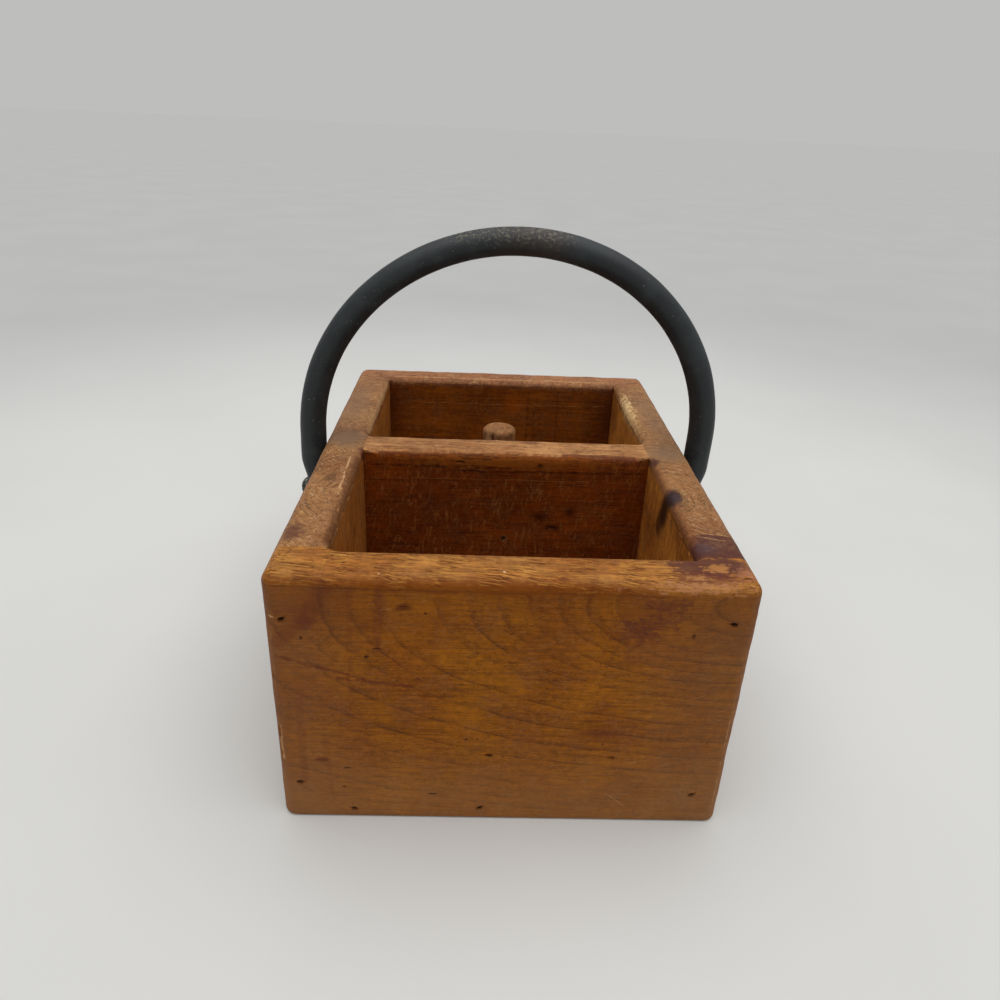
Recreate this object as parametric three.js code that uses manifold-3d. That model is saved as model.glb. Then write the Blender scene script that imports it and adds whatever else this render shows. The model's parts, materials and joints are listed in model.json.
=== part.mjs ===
// A small wooden caddy: a nailed box with two compartments, a round peg in the rear one,
// and a black bar handle that swings on a screw in each side.
// Sizes are in millimetres. X runs across the box, Y from front to back, Z up from its underside.
import * as THREE from 'three';
import { mergeVertices } from 'three/addons/utils/BufferGeometryUtils.js';
import Module from 'manifold-3d';

const wasm = await Module();
wasm.setup();

// Box
const BOX_WIDTH = 168;
const BOX_DEPTH = 235;
const BOX_HEIGHT = 108.5;
const BOARD = 19;
const BOTTOM_THICKNESS = 9.5;
const CORNER_RADIUS = 4.5;
const FOOT_RADIUS = 1.5;
const FIT_GAP = 0.3;
const HOLE_END_CLEARANCE = 1;

// Rounding-over pass along the inner top edges of each compartment, wider at the front one's corners
const ROUTED_RADIUS = 4;
const FRONT_BEARING_RADIUS = 8;
const REAR_BEARING_RADIUS = 3;

// Peg
const PEG_DIAMETER = 17.5;
const PEG_TOP = 97.5;
const PEG_X = -2;
const PEG_Y = 54;
const PEG_RIM_RADIUS = 1.6;

// Handle: a round bar in a tall half oval, with short straight legs and flattened ends
const BAR_DIAMETER = 12;
const HANDLE_INSIDE_WIDTH = 171.2;
const HANDLE_TOP = 204;
const HANDLE_LEG_TOP = 110.5;
const HANDLE_RACK = 0.026;
const PIVOT_Y = 10;
const PIVOT_Z = 80;
const EYE_THICKNESS = 9;
const EYE_WIDTH = 15;
const FLAT_START = 3;
const FLAT_END = 17;

// Pivot screws and washers
const PIVOT_SHANK_DIAMETER = 4.8;
const PIVOT_SCREW_DEPTH = 13.5;
const PIVOT_HEAD_DIAMETER = 9.6;
const PIVOT_HEAD_HEIGHT = 3.4;
const SLOT_WIDTH = 1.2;
const SLOT_DEPTH = 1.3;
const WASHER_DIAMETER = 13;
const WASHER_THICKNESS = 1;

// Countersunk screw that holds the peg from below
const PEG_SCREW_LENGTH = 26;
const PEG_SCREW_HEAD_DIAMETER = 8;
const PEG_SCREW_HEAD_HEIGHT = 2.8;
const PEG_SCREW_SHANK_DIAMETER = 4;

// Nails
const NAIL_LENGTH = 38;
const NAIL_SHANK_DIAMETER = 2.4;
const NAIL_HEAD_DIAMETER = 3;
const NAIL_HEAD_HEIGHT = 1.4;
const NAIL_SET = 1.3;
const NAIL_POINT = 4;

// Smoothness
const EDGE_SEGMENTS = 6;
const ROUND_SIDES = 28;
const BAR_SIDES = 20;
const BAR_STEPS = 64;
const NAIL_SIDES = 8;
const OVERSHOOT = 2;
const MERGE_TOLERANCE = 1e-4;

const HALF_WIDTH = BOX_WIDTH / 2;
const HALF_DEPTH = BOX_DEPTH / 2;
const INSIDE_HALF_WIDTH = HALF_WIDTH - BOARD;
const INSIDE_HALF_DEPTH = HALF_DEPTH - BOARD;
const DIVIDER_HALF = BOARD / 2;

const woodFinish = (name, color, roughness) =>
  new THREE.MeshStandardMaterial({ name, color, roughness, metalness: 0, flatShading: true });
const metalFinish = (name, color, roughness, metalness) =>
  new THREE.MeshStandardMaterial({ name, color, roughness, metalness, flatShading: true });

const END_WOOD = woodFinish('end_wood', 0x8d5424, 0.5);
const SIDE_WOOD = woodFinish('side_wood', 0x87572f, 0.58);
const DIVIDER_WOOD = woodFinish('divider_wood', 0x7d4a20, 0.58);
const BOTTOM_WOOD = woodFinish('bottom_wood', 0x6e4523, 0.75);
const PEG_WOOD = woodFinish('peg_wood', 0x8a6340, 0.65);
const BAR_BLACK = metalFinish('bar_black', 0x1c1e1d, 0.55, 0.35);
const SCREW_STEEL = metalFinish('screw_steel', 0x3b4038, 0.5, 0.8);
const NAIL_IRON = metalFinish('nail_iron', 0x2c211b, 0.75, 0.6);

// Solids for cutting and joining

function toSolid(geometry) {
  const bare = geometry.clone();
  bare.deleteAttribute('normal');
  bare.deleteAttribute('uv');
  const merged = mergeVertices(bare, MERGE_TOLERANCE);
  return new wasm.Manifold(
    new wasm.Mesh({
      numProp: 3,
      vertProperties: new Float32Array(merged.attributes.position.array),
      triVerts: new Uint32Array(merged.index.array),
    }),
  );
}

function toGeometry(solid) {
  const mesh = solid.getMesh();
  const geometry = new THREE.BufferGeometry();
  geometry.setAttribute('position', new THREE.BufferAttribute(new Float32Array(mesh.vertProperties), 3));
  geometry.setIndex(new THREE.BufferAttribute(new Uint32Array(mesh.triVerts), 1));
  geometry.computeVertexNormals();
  return geometry;
}

function namedMesh(name, geometry, material) {
  const mesh = new THREE.Mesh(geometry, material);
  mesh.name = name;
  return mesh;
}

const cutAll = (solid, cutters) => cutters.reduce((rest, cutter) => rest.subtract(cutter), solid);

// A block between two corners
function block([x0, y0, z0], [x1, y1, z1]) {
  const geometry = new THREE.BoxGeometry(x1 - x0, y1 - y0, z1 - z0);
  geometry.translate((x0 + x1) / 2, (y0 + y1) / 2, (z0 + z1) / 2);
  return toSolid(geometry);
}

// A rectangle from (-half, low) to (half, high), with its own radius at the top and at the bottom corners
function roundedOutline(half, low, high, lowRadius, highRadius) {
  const shape = new THREE.Shape();
  shape.absarc(half - lowRadius, low + lowRadius, lowRadius, -Math.PI / 2, 0);
  shape.absarc(half - highRadius, high - highRadius, highRadius, 0, Math.PI / 2);
  shape.absarc(-half + highRadius, high - highRadius, highRadius, Math.PI / 2, Math.PI);
  shape.absarc(-half + lowRadius, low + lowRadius, lowRadius, Math.PI, 1.5 * Math.PI);
  shape.closePath();
  return shape;
}

function centredExtrusion(shape, length) {
  const geometry = new THREE.ExtrudeGeometry(shape, {
    depth: length,
    bevelEnabled: false,
    curveSegments: EDGE_SEGMENTS / 2,
  });
  geometry.translate(0, 0, -length / 2);
  return geometry;
}

// The whole box as one block with rounded outer edges, which every board is trimmed to
function outerEnvelope() {
  const plan = roundedOutline(HALF_WIDTH, -HALF_DEPTH, HALF_DEPTH, CORNER_RADIUS, CORNER_RADIUS);
  const front = roundedOutline(HALF_WIDTH, 0, BOX_HEIGHT, FOOT_RADIUS, CORNER_RADIUS);
  const side = roundedOutline(HALF_DEPTH, 0, BOX_HEIGHT, FOOT_RADIUS, CORNER_RADIUS);
  const reach = 2 * BOX_DEPTH;
  const upright = centredExtrusion(plan, reach);
  const acrossDepth = centredExtrusion(front, reach).rotateX(Math.PI / 2);
  const acrossWidth = centredExtrusion(side, reach).rotateX(Math.PI / 2).rotateZ(Math.PI / 2);
  return toSolid(upright).intersect(toSolid(acrossDepth)).intersect(toSolid(acrossWidth));
}

// Half the outline of the rounding-over bit, from its axis out to its rim
function routerOutline(bearing) {
  const points = [new THREE.Vector2(0, BOX_HEIGHT - ROUTED_RADIUS)];
  for (let step = 0; step <= EDGE_SEGMENTS; step += 1) {
    const angle = Math.PI - (step / EDGE_SEGMENTS) * (Math.PI / 2);
    points.push(
      new THREE.Vector2(
        bearing + ROUTED_RADIUS * (1 + Math.cos(angle)),
        BOX_HEIGHT - ROUTED_RADIUS * (1 - Math.sin(angle)),
      ),
    );
  }
  const rim = bearing + ROUTED_RADIUS;
  points.push(new THREE.Vector2(rim, BOX_HEIGHT + OVERSHOOT));
  points.push(new THREE.Vector2(0, BOX_HEIGHT + OVERSHOOT));
  return points;
}

// The bit turning at one corner of its path
function routerCorner(bearing, x, y) {
  const geometry = new THREE.LatheGeometry(routerOutline(bearing), ROUND_SIDES);
  geometry.rotateX(Math.PI / 2);
  geometry.translate(x, y, 0);
  return toSolid(geometry);
}

// The bit moved straight between two corners
function routerRun(bearing, x0, y0, x1, y1) {
  const half = routerOutline(bearing);
  const mirrored = half
    .slice(1, -1)
    .map((point) => new THREE.Vector2(-point.x, point.y))
    .reverse();
  const shape = new THREE.Shape([...half.slice(1, -1), ...mirrored]);
  const length = Math.hypot(x1 - x0, y1 - y0);
  const geometry = centredExtrusion(shape, length).rotateX(Math.PI / 2);
  geometry.rotateZ(Math.atan2(y1 - y0, x1 - x0) + Math.PI / 2);
  geometry.translate((x0 + x1) / 2, (y0 + y1) / 2, 0);
  return toSolid(geometry);
}

// One full turn of the bit round the mouth of a compartment
function routerPass(bearing, yFront, yBack) {
  const x = INSIDE_HALF_WIDTH - bearing;
  const near = yFront + bearing;
  const far = yBack - bearing;
  const corners = [
    [-x, near],
    [x, near],
    [x, far],
    [-x, far],
  ];
  const cuts = corners.flatMap(([cx, cy], index) => {
    const [nx, ny] = corners[(index + 1) % corners.length];
    return [routerCorner(bearing, cx, cy), routerRun(bearing, cx, cy, nx, ny)];
  });
  return cuts.reduce((joined, cut) => joined.add(cut));
}

// Fasteners, each turned about its own Z axis with its head up at the origin's side

function turned(profile, sides) {
  const points = profile.map(([radius, height]) => new THREE.Vector2(radius, height));
  return new THREE.LatheGeometry(points, sides).rotateX(Math.PI / 2);
}

// A finishing nail: the head's top is at z = 0 and the point is below
function nailGeometry() {
  const shank = NAIL_SHANK_DIAMETER / 2;
  const head = NAIL_HEAD_DIAMETER / 2;
  return turned(
    [
      [0, -NAIL_LENGTH],
      [shank, -NAIL_LENGTH + NAIL_POINT],
      [shank, -NAIL_HEAD_HEIGHT],
      [head, -NAIL_HEAD_HEIGHT / 2],
      [head, 0],
      [0, 0],
    ],
    NAIL_SIDES,
  );
}

// The hole that a nail makes, wide where its head went in
function nailHole() {
  const shank = NAIL_SHANK_DIAMETER / 2 + FIT_GAP;
  const head = NAIL_HEAD_DIAMETER / 2 + FIT_GAP;
  return turned(
    [
      [0, -NAIL_LENGTH - HOLE_END_CLEARANCE],
      [shank, -NAIL_LENGTH + NAIL_POINT - HOLE_END_CLEARANCE],
      [shank, -NAIL_HEAD_HEIGHT - FIT_GAP],
      [head, -NAIL_HEAD_HEIGHT / 2 - FIT_GAP],
      [head, NAIL_SET + OVERSHOOT],
      [0, NAIL_SET + OVERSHOOT],
    ],
    NAIL_SIDES,
  );
}

// Turns a fastener made along Z so that its head faces the given way
const FACING = {
  front: new THREE.Euler(Math.PI / 2, 0, 0),
  back: new THREE.Euler(-Math.PI / 2, 0, 0),
  left: new THREE.Euler(0, -Math.PI / 2, 0),
  right: new THREE.Euler(0, Math.PI / 2, 0),
};

function place(mesh, facing, x, y, z) {
  mesh.rotation.copy(FACING[facing]);
  mesh.position.set(x, y, z);
  mesh.updateMatrix();
  return mesh;
}

const cutterAt = (geometry, mesh) => toSolid(geometry.clone().applyMatrix4(mesh.matrix));

// Nails in the front and back boards, given across and up
const FRONT_CORNER_NAILS = {
  front_nail_upper_left: [-77.7, 91.1],
  front_nail_lower_left: [-76.5, 17.6],
  front_nail_upper_right: [75.2, 93.2],
  front_nail_lower_right: [72.1, 14.3],
};
const FRONT_FLOOR_NAILS = {
  front_floor_nail_left: [-56.6, 4.2],
  front_floor_nail_middle: [-8.9, 5.4],
};
const BACK_CORNER_NAILS = {
  back_nail_upper_left: [-75.5, 92],
  back_nail_lower_left: [-74, 16],
  back_nail_upper_right: [75, 92.5],
  back_nail_lower_right: [74.5, 17],
};
const BACK_FLOOR_NAILS = {
  back_floor_nail_left: [-42, 4.7],
  back_floor_nail_right: [40, 4.9],
};

// Nails in the side boards, given from front to back and up
const SIDE_NAIL_PLACES = {
  divider_nail_upper: [-1.5, 94],
  divider_nail_lower: [0.5, 30],
  floor_nail_front: [-58, 4.8],
  floor_nail_back: [61, 4.6],
};

function nailsThrough(facing, places, toPosition) {
  return Object.entries(places).map(([name, [along, up]]) =>
    place(namedMesh(name, nailGeometry(), NAIL_IRON), facing, ...toPosition(along, up)),
  );
}

function makeNails() {
  const front = nailsThrough('front', { ...FRONT_CORNER_NAILS, ...FRONT_FLOOR_NAILS }, (x, z) => [
    x,
    -HALF_DEPTH + NAIL_SET,
    z,
  ]);
  const back = nailsThrough('back', { ...BACK_CORNER_NAILS, ...BACK_FLOOR_NAILS }, (x, z) => [
    x,
    HALF_DEPTH - NAIL_SET,
    z,
  ]);
  const sides = ['left', 'right'].flatMap((side) => {
    const named = Object.fromEntries(
      Object.entries(SIDE_NAIL_PLACES).map(([name, spot]) => [`${side}_${name}`, spot]),
    );
    const outward = side === 'left' ? -1 : 1;
    return nailsThrough(side, named, (y, z) => [outward * (HALF_WIDTH - NAIL_SET), y, z]);
  });
  return [...front, ...back, ...sides];
}

// Pivot hardware. The stack on each side, from the board outwards, is washer, handle end, screw head.
const WASHER_INNER_FACE = HALF_WIDTH + FIT_GAP;
const EYE_INNER_FACE = HANDLE_INSIDE_WIDTH / 2;
const HEAD_INNER_FACE = EYE_INNER_FACE + EYE_THICKNESS + FIT_GAP;
const PIVOT_HOLE_DIAMETER = PIVOT_SHANK_DIAMETER + 2 * FIT_GAP;

// A round-head wood screw: z = 0 is under its head, and its slot runs along X
function pivotScrewGeometry() {
  const shank = PIVOT_SHANK_DIAMETER / 2;
  const head = PIVOT_HEAD_DIAMETER / 2;
  const length = HEAD_INNER_FACE - HALF_WIDTH + PIVOT_SCREW_DEPTH;
  const dome = [];
  for (let step = 1; step <= EDGE_SEGMENTS; step += 1) {
    const angle = (step / EDGE_SEGMENTS) * (Math.PI / 2);
    dome.push([head * Math.cos(angle), PIVOT_HEAD_HEIGHT * Math.sin(angle)]);
  }
  dome[dome.length - 1][0] = 0;
  const profile = [[0, -length], [shank, -length + 2 * shank], [shank, 0], [head, 0], ...dome];
  const slot = block(
    [-head, -SLOT_WIDTH / 2, PIVOT_HEAD_HEIGHT - SLOT_DEPTH],
    [head, SLOT_WIDTH / 2, PIVOT_HEAD_HEIGHT + OVERSHOOT],
  );
  return toGeometry(toSolid(turned(profile, ROUND_SIDES)).subtract(slot));
}

function pivotHole() {
  const radius = PIVOT_HOLE_DIAMETER / 2;
  const depth = HEAD_INNER_FACE - HALF_WIDTH + PIVOT_SCREW_DEPTH + HOLE_END_CLEARANCE;
  return turned([[0, -depth], [radius, -depth + radius], [radius, 0], [0, 0]], ROUND_SIDES);
}

function washerGeometry() {
  const outer = WASHER_DIAMETER / 2;
  const inner = PIVOT_HOLE_DIAMETER / 2;
  const ring = [
    [inner, 0],
    [outer, 0],
    [outer, WASHER_THICKNESS],
    [inner, WASHER_THICKNESS],
    [inner, 0],
  ];
  return turned(ring, ROUND_SIDES);
}

function makePivotHardware() {
  return ['left', 'right'].flatMap((side) => {
    const outward = side === 'left' ? -1 : 1;
    const screw = namedMesh(`${side}_pivot_screw`, pivotScrewGeometry(), SCREW_STEEL);
    const washer = namedMesh(`${side}_pivot_washer`, washerGeometry(), SCREW_STEEL);
    return [
      place(screw, side, outward * HEAD_INNER_FACE, PIVOT_Y, PIVOT_Z),
      place(washer, side, outward * WASHER_INNER_FACE, PIVOT_Y, PIVOT_Z),
    ];
  });
}

// Handle

// The centre line of the bar, from the left pivot over the top to the right pivot.
// It is measured from the pivots, and leans a little to the right as it rises.
class HandleLine extends THREE.Curve {
  getPoint(t, target = new THREE.Vector3()) {
    const halfWidth = (HANDLE_INSIDE_WIDTH + BAR_DIAMETER) / 2;
    const leg = HANDLE_LEG_TOP - PIVOT_Z;
    const rise = HANDLE_TOP - BAR_DIAMETER / 2 - HANDLE_LEG_TOP;
    const arcLength = (Math.PI * (halfWidth + rise)) / 2;
    const along = t * (2 * leg + arcLength);
    let across = -halfWidth;
    let up = along;
    if (along > leg + arcLength) {
      across = halfWidth;
      up = 2 * leg + arcLength - along;
    } else if (along > leg) {
      const angle = Math.PI * (1 - (along - leg) / arcLength);
      across = halfWidth * Math.cos(angle);
      up = leg + rise * Math.sin(angle);
    }
    return target.set(across + HANDLE_RACK * up, 0, up);
  }
}

// Presses the two ends of the bar flat, keeping the side next to the box where it is
function flattenEnds(geometry) {
  const position = geometry.attributes.position;
  for (let index = 0; index < position.count; index += 1) {
    const x = position.getX(index);
    const pressed = 1 - THREE.MathUtils.smoothstep(position.getZ(index), FLAT_START, FLAT_END);
    const thin = THREE.MathUtils.lerp(1, EYE_THICKNESS / BAR_DIAMETER, pressed);
    const wide = THREE.MathUtils.lerp(1, EYE_WIDTH / BAR_DIAMETER, pressed);
    position.setX(index, Math.sign(x) * (EYE_INNER_FACE + (Math.abs(x) - EYE_INNER_FACE) * thin));
    position.setY(index, position.getY(index) * wide);
  }
  return geometry;
}

// The rounded end round each screw hole, a thick disc with a full rim
function eyeDisc(side) {
  const half = EYE_THICKNESS / 2;
  const flat = EYE_WIDTH / 2 - half;
  const rim = [];
  for (let step = 0; step <= 2 * EDGE_SEGMENTS; step += 1) {
    const angle = -Math.PI / 2 + (step / (2 * EDGE_SEGMENTS)) * Math.PI;
    rim.push([flat + half * Math.cos(angle), half * Math.sin(angle)]);
  }
  const disc = turned([[0, -half], ...rim, [0, half]], ROUND_SIDES).rotateY(Math.PI / 2);
  disc.translate(side * (EYE_INNER_FACE + half), 0, 0);
  return toSolid(disc);
}

function makeHandle() {
  const section = new THREE.Shape();
  section.absarc(0, 0, BAR_DIAMETER / 2, 0, 2 * Math.PI);
  const bar = new THREE.ExtrudeGeometry(section, {
    steps: BAR_STEPS,
    curveSegments: BAR_SIDES / 2,
    extrudePath: new HandleLine(),
  });
  const holeRadius = PIVOT_HOLE_DIAMETER / 2;
  const hole = new THREE.CylinderGeometry(holeRadius, holeRadius, 2 * BOX_WIDTH, ROUND_SIDES);
  const solid = toSolid(flattenEnds(bar))
    .add(eyeDisc(-1))
    .add(eyeDisc(1))
    .subtract(toSolid(hole.rotateZ(Math.PI / 2)));
  const handle = namedMesh('bail_handle', toGeometry(solid), BAR_BLACK);
  const swing = new THREE.Group();
  swing.position.set(0, PIVOT_Y, PIVOT_Z);
  swing.add(handle);
  return swing;
}

// Peg and its screw

function pegScrewGeometry() {
  const head = PEG_SCREW_HEAD_DIAMETER / 2;
  const shank = PEG_SCREW_SHANK_DIAMETER / 2;
  return turned(
    [
      [0, FIT_GAP],
      [head, FIT_GAP],
      [shank, PEG_SCREW_HEAD_HEIGHT],
      [shank, PEG_SCREW_LENGTH - 2 * shank],
      [0, PEG_SCREW_LENGTH],
    ],
    ROUND_SIDES,
  );
}

function pegScrewHole() {
  const head = PEG_SCREW_HEAD_DIAMETER / 2 + FIT_GAP;
  const shank = PEG_SCREW_SHANK_DIAMETER / 2 + FIT_GAP;
  return toSolid(
    turned(
      [
        [0, -OVERSHOOT],
        [head, -OVERSHOOT],
        [head, 2 * FIT_GAP],
        [shank, PEG_SCREW_HEAD_HEIGHT + FIT_GAP],
        [shank, PEG_SCREW_LENGTH],
        [0, PEG_SCREW_LENGTH + HOLE_END_CLEARANCE],
      ],
      ROUND_SIDES,
    ).translate(PEG_X, PEG_Y, 0),
  );
}

function pegSolid() {
  const radius = PEG_DIAMETER / 2;
  const rim = [];
  for (let step = 0; step <= EDGE_SEGMENTS; step += 1) {
    const angle = (step / EDGE_SEGMENTS) * (Math.PI / 2);
    rim.push([
      radius - PEG_RIM_RADIUS * (1 - Math.cos(angle)),
      PEG_TOP - PEG_RIM_RADIUS * (1 - Math.sin(angle)),
    ]);
  }
  const foot = BOTTOM_THICKNESS + FIT_GAP;
  const profile = [[0, foot], [radius, foot], ...rim, [0, PEG_TOP]];
  return toSolid(turned(profile, ROUND_SIDES).translate(PEG_X, PEG_Y, 0));
}

// Assembly

function makeBoards(nails, pivotScrews) {
  const envelope = outerEnvelope();
  const frontPass = routerPass(FRONT_BEARING_RADIUS, -INSIDE_HALF_DEPTH, -DIVIDER_HALF);
  const rearPass = routerPass(REAR_BEARING_RADIUS, DIVIDER_HALF, INSIDE_HALF_DEPTH);
  const nailCuts = nails.map((nail) => cutterAt(nailHole(), nail));
  const pivotCuts = pivotScrews.map((screw) => cutterAt(pivotHole(), screw));
  const pegCut = pegScrewHole();
  const insideX = INSIDE_HALF_WIDTH - FIT_GAP;
  const insideY = INSIDE_HALF_DEPTH - FIT_GAP;

  const board = (name, low, high, material, cuts) => {
    const solid = cutAll(block(low, high).intersect(envelope), cuts);
    return namedMesh(name, toGeometry(solid), material);
  };
  const frontLeft = [-HALF_WIDTH, -HALF_DEPTH, 0];
  const backRight = [HALF_WIDTH, HALF_DEPTH, BOX_HEIGHT];
  const peg = namedMesh('peg', toGeometry(pegSolid().subtract(pegCut)), PEG_WOOD);
  return [
    board('front_board', frontLeft, [HALF_WIDTH, -INSIDE_HALF_DEPTH, BOX_HEIGHT], END_WOOD, [
      frontPass,
      ...nailCuts,
    ]),
    board('back_board', [-HALF_WIDTH, INSIDE_HALF_DEPTH, 0], backRight, END_WOOD, [rearPass, ...nailCuts]),
    board('left_board', [-HALF_WIDTH, -insideY, 0], [-INSIDE_HALF_WIDTH, insideY, BOX_HEIGHT], SIDE_WOOD, [
      frontPass,
      rearPass,
      ...nailCuts,
      ...pivotCuts,
    ]),
    board('right_board', [INSIDE_HALF_WIDTH, -insideY, 0], [HALF_WIDTH, insideY, BOX_HEIGHT], SIDE_WOOD, [
      frontPass,
      rearPass,
      ...nailCuts,
      ...pivotCuts,
    ]),
    board(
      'divider_board',
      [-insideX, -DIVIDER_HALF, BOTTOM_THICKNESS + FIT_GAP],
      [insideX, DIVIDER_HALF, BOX_HEIGHT],
      DIVIDER_WOOD,
      [frontPass, rearPass, ...nailCuts],
    ),
    board('bottom_board', [-insideX, -insideY, 0], [insideX, insideY, BOTTOM_THICKNESS], BOTTOM_WOOD, [
      pegCut,
      ...nailCuts,
    ]),
    peg,
  ];
}

function makePegScrew() {
  const screw = namedMesh('peg_screw', pegScrewGeometry(), SCREW_STEEL);
  screw.position.set(PEG_X, PEG_Y, 0);
  return screw;
}

const nails = makeNails();
const hardware = makePivotHardware();
const pivotScrews = hardware.filter((mesh) => mesh.name.endsWith('screw'));

const caddy = new THREE.Group();
caddy.name = 'wooden_caddy';
caddy.add(...makeBoards(nails, pivotScrews), makePegScrew(), makeHandle(), ...hardware, ...nails);

export default caddy;
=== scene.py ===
"""Dresses a small wooden caddy: a nailed box with a peg and a swinging black bar handle.

The sizes that a class holds, and the places of marks and chips, are in millimetres unless a line
says otherwise, and MM turns them into metres. What the Bench works on is in metres. Points closer
than NEAR count as the same. X runs across the box, Y from front to back and Z up from its underside.
"""

import json
import logging
import math
from dataclasses import dataclass
from enum import Enum
from typing import Callable, Iterable

import bpy
from mathutils import Matrix, Vector


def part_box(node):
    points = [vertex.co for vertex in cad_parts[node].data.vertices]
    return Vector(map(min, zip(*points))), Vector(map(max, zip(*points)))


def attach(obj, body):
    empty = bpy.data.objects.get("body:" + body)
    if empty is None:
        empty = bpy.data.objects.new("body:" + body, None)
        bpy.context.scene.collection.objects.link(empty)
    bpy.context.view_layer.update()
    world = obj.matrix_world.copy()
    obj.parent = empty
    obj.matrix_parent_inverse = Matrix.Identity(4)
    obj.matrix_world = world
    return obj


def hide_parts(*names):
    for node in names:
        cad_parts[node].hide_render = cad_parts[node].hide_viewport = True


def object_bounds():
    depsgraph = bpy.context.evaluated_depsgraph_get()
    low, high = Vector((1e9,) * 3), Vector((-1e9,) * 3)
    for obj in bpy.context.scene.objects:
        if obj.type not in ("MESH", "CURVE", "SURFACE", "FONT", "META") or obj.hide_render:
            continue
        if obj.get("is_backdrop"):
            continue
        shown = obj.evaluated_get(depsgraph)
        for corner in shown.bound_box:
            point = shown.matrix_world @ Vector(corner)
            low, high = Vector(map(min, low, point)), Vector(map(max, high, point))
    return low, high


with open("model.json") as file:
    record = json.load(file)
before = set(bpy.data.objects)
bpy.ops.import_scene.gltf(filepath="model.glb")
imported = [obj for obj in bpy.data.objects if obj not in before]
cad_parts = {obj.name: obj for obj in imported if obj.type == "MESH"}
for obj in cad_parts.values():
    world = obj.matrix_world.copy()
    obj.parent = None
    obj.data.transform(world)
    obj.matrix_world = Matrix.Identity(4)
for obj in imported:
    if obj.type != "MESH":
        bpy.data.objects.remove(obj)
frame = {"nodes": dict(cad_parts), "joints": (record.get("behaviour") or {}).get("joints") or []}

MM = 0.001
NEAR = 0.05 * MM
LOG = logging.getLogger("caddy")

Point = tuple[float, float, float]
Colour = tuple[float, float, float, float]
Node = bpy.types.Node
Socket = bpy.types.NodeSocket
Feeds = Iterable[tuple[str | int, object]]
Piece = bpy.types.Object
EdgeTest = Callable[[Vector, Vector], bool]


class Axis(Enum):
    """The three directions of the caddy."""

    ACROSS = 0
    DEEP = 1
    UP = 2


class Side(Enum):
    """Left and right, as the sign of X."""

    LEFT = -1
    RIGHT = 1


class Zone(Enum):
    """The parts of a board that look different from each other."""

    ANY = 0
    FACE = 1
    INSIDE = 2
    TOP = 3


def shade(red: float, green: float, blue: float) -> Colour:
    """Turns a screen colour, with parts from 0 to 255, into the linear one that a shader takes."""
    linear = [((channel / 255 + 0.055) / 1.055) ** 2.4 for channel in (red, green, blue)]
    return (linear[0], linear[1], linear[2], 1.0)


def metres(point: Iterable[float]) -> Vector:
    """Turns a point in millimetres into metres."""
    return Vector([value * MM for value in point])


LINE_BROWN = shade(78, 38, 18)
PLUM = shade(98, 46, 32)
PLUM_DEEP = shade(82, 43, 37)
MAROON = shade(92, 42, 26)
# Dark marks; under the front board's rounded top this colour also paints shade along the crease.
DARK_MARK_AND_SHADE = shade(46, 20, 10)
REDDISH = shade(100, 44, 24)
GREY_BROWN = shade(126, 100, 78)
# Pale wear; down the front board's upright edges it is partly a painted highlight.
PALE_WEAR_AND_HIGHLIGHT = shade(206, 158, 106)
PALE_CHIP = shade(232, 200, 156)

# Where a mix node takes its first and second value and gives its result.
MIX_SOCKETS = {"RGBA": (6, 7, 2), "FLOAT": (2, 3, 0)}


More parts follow.
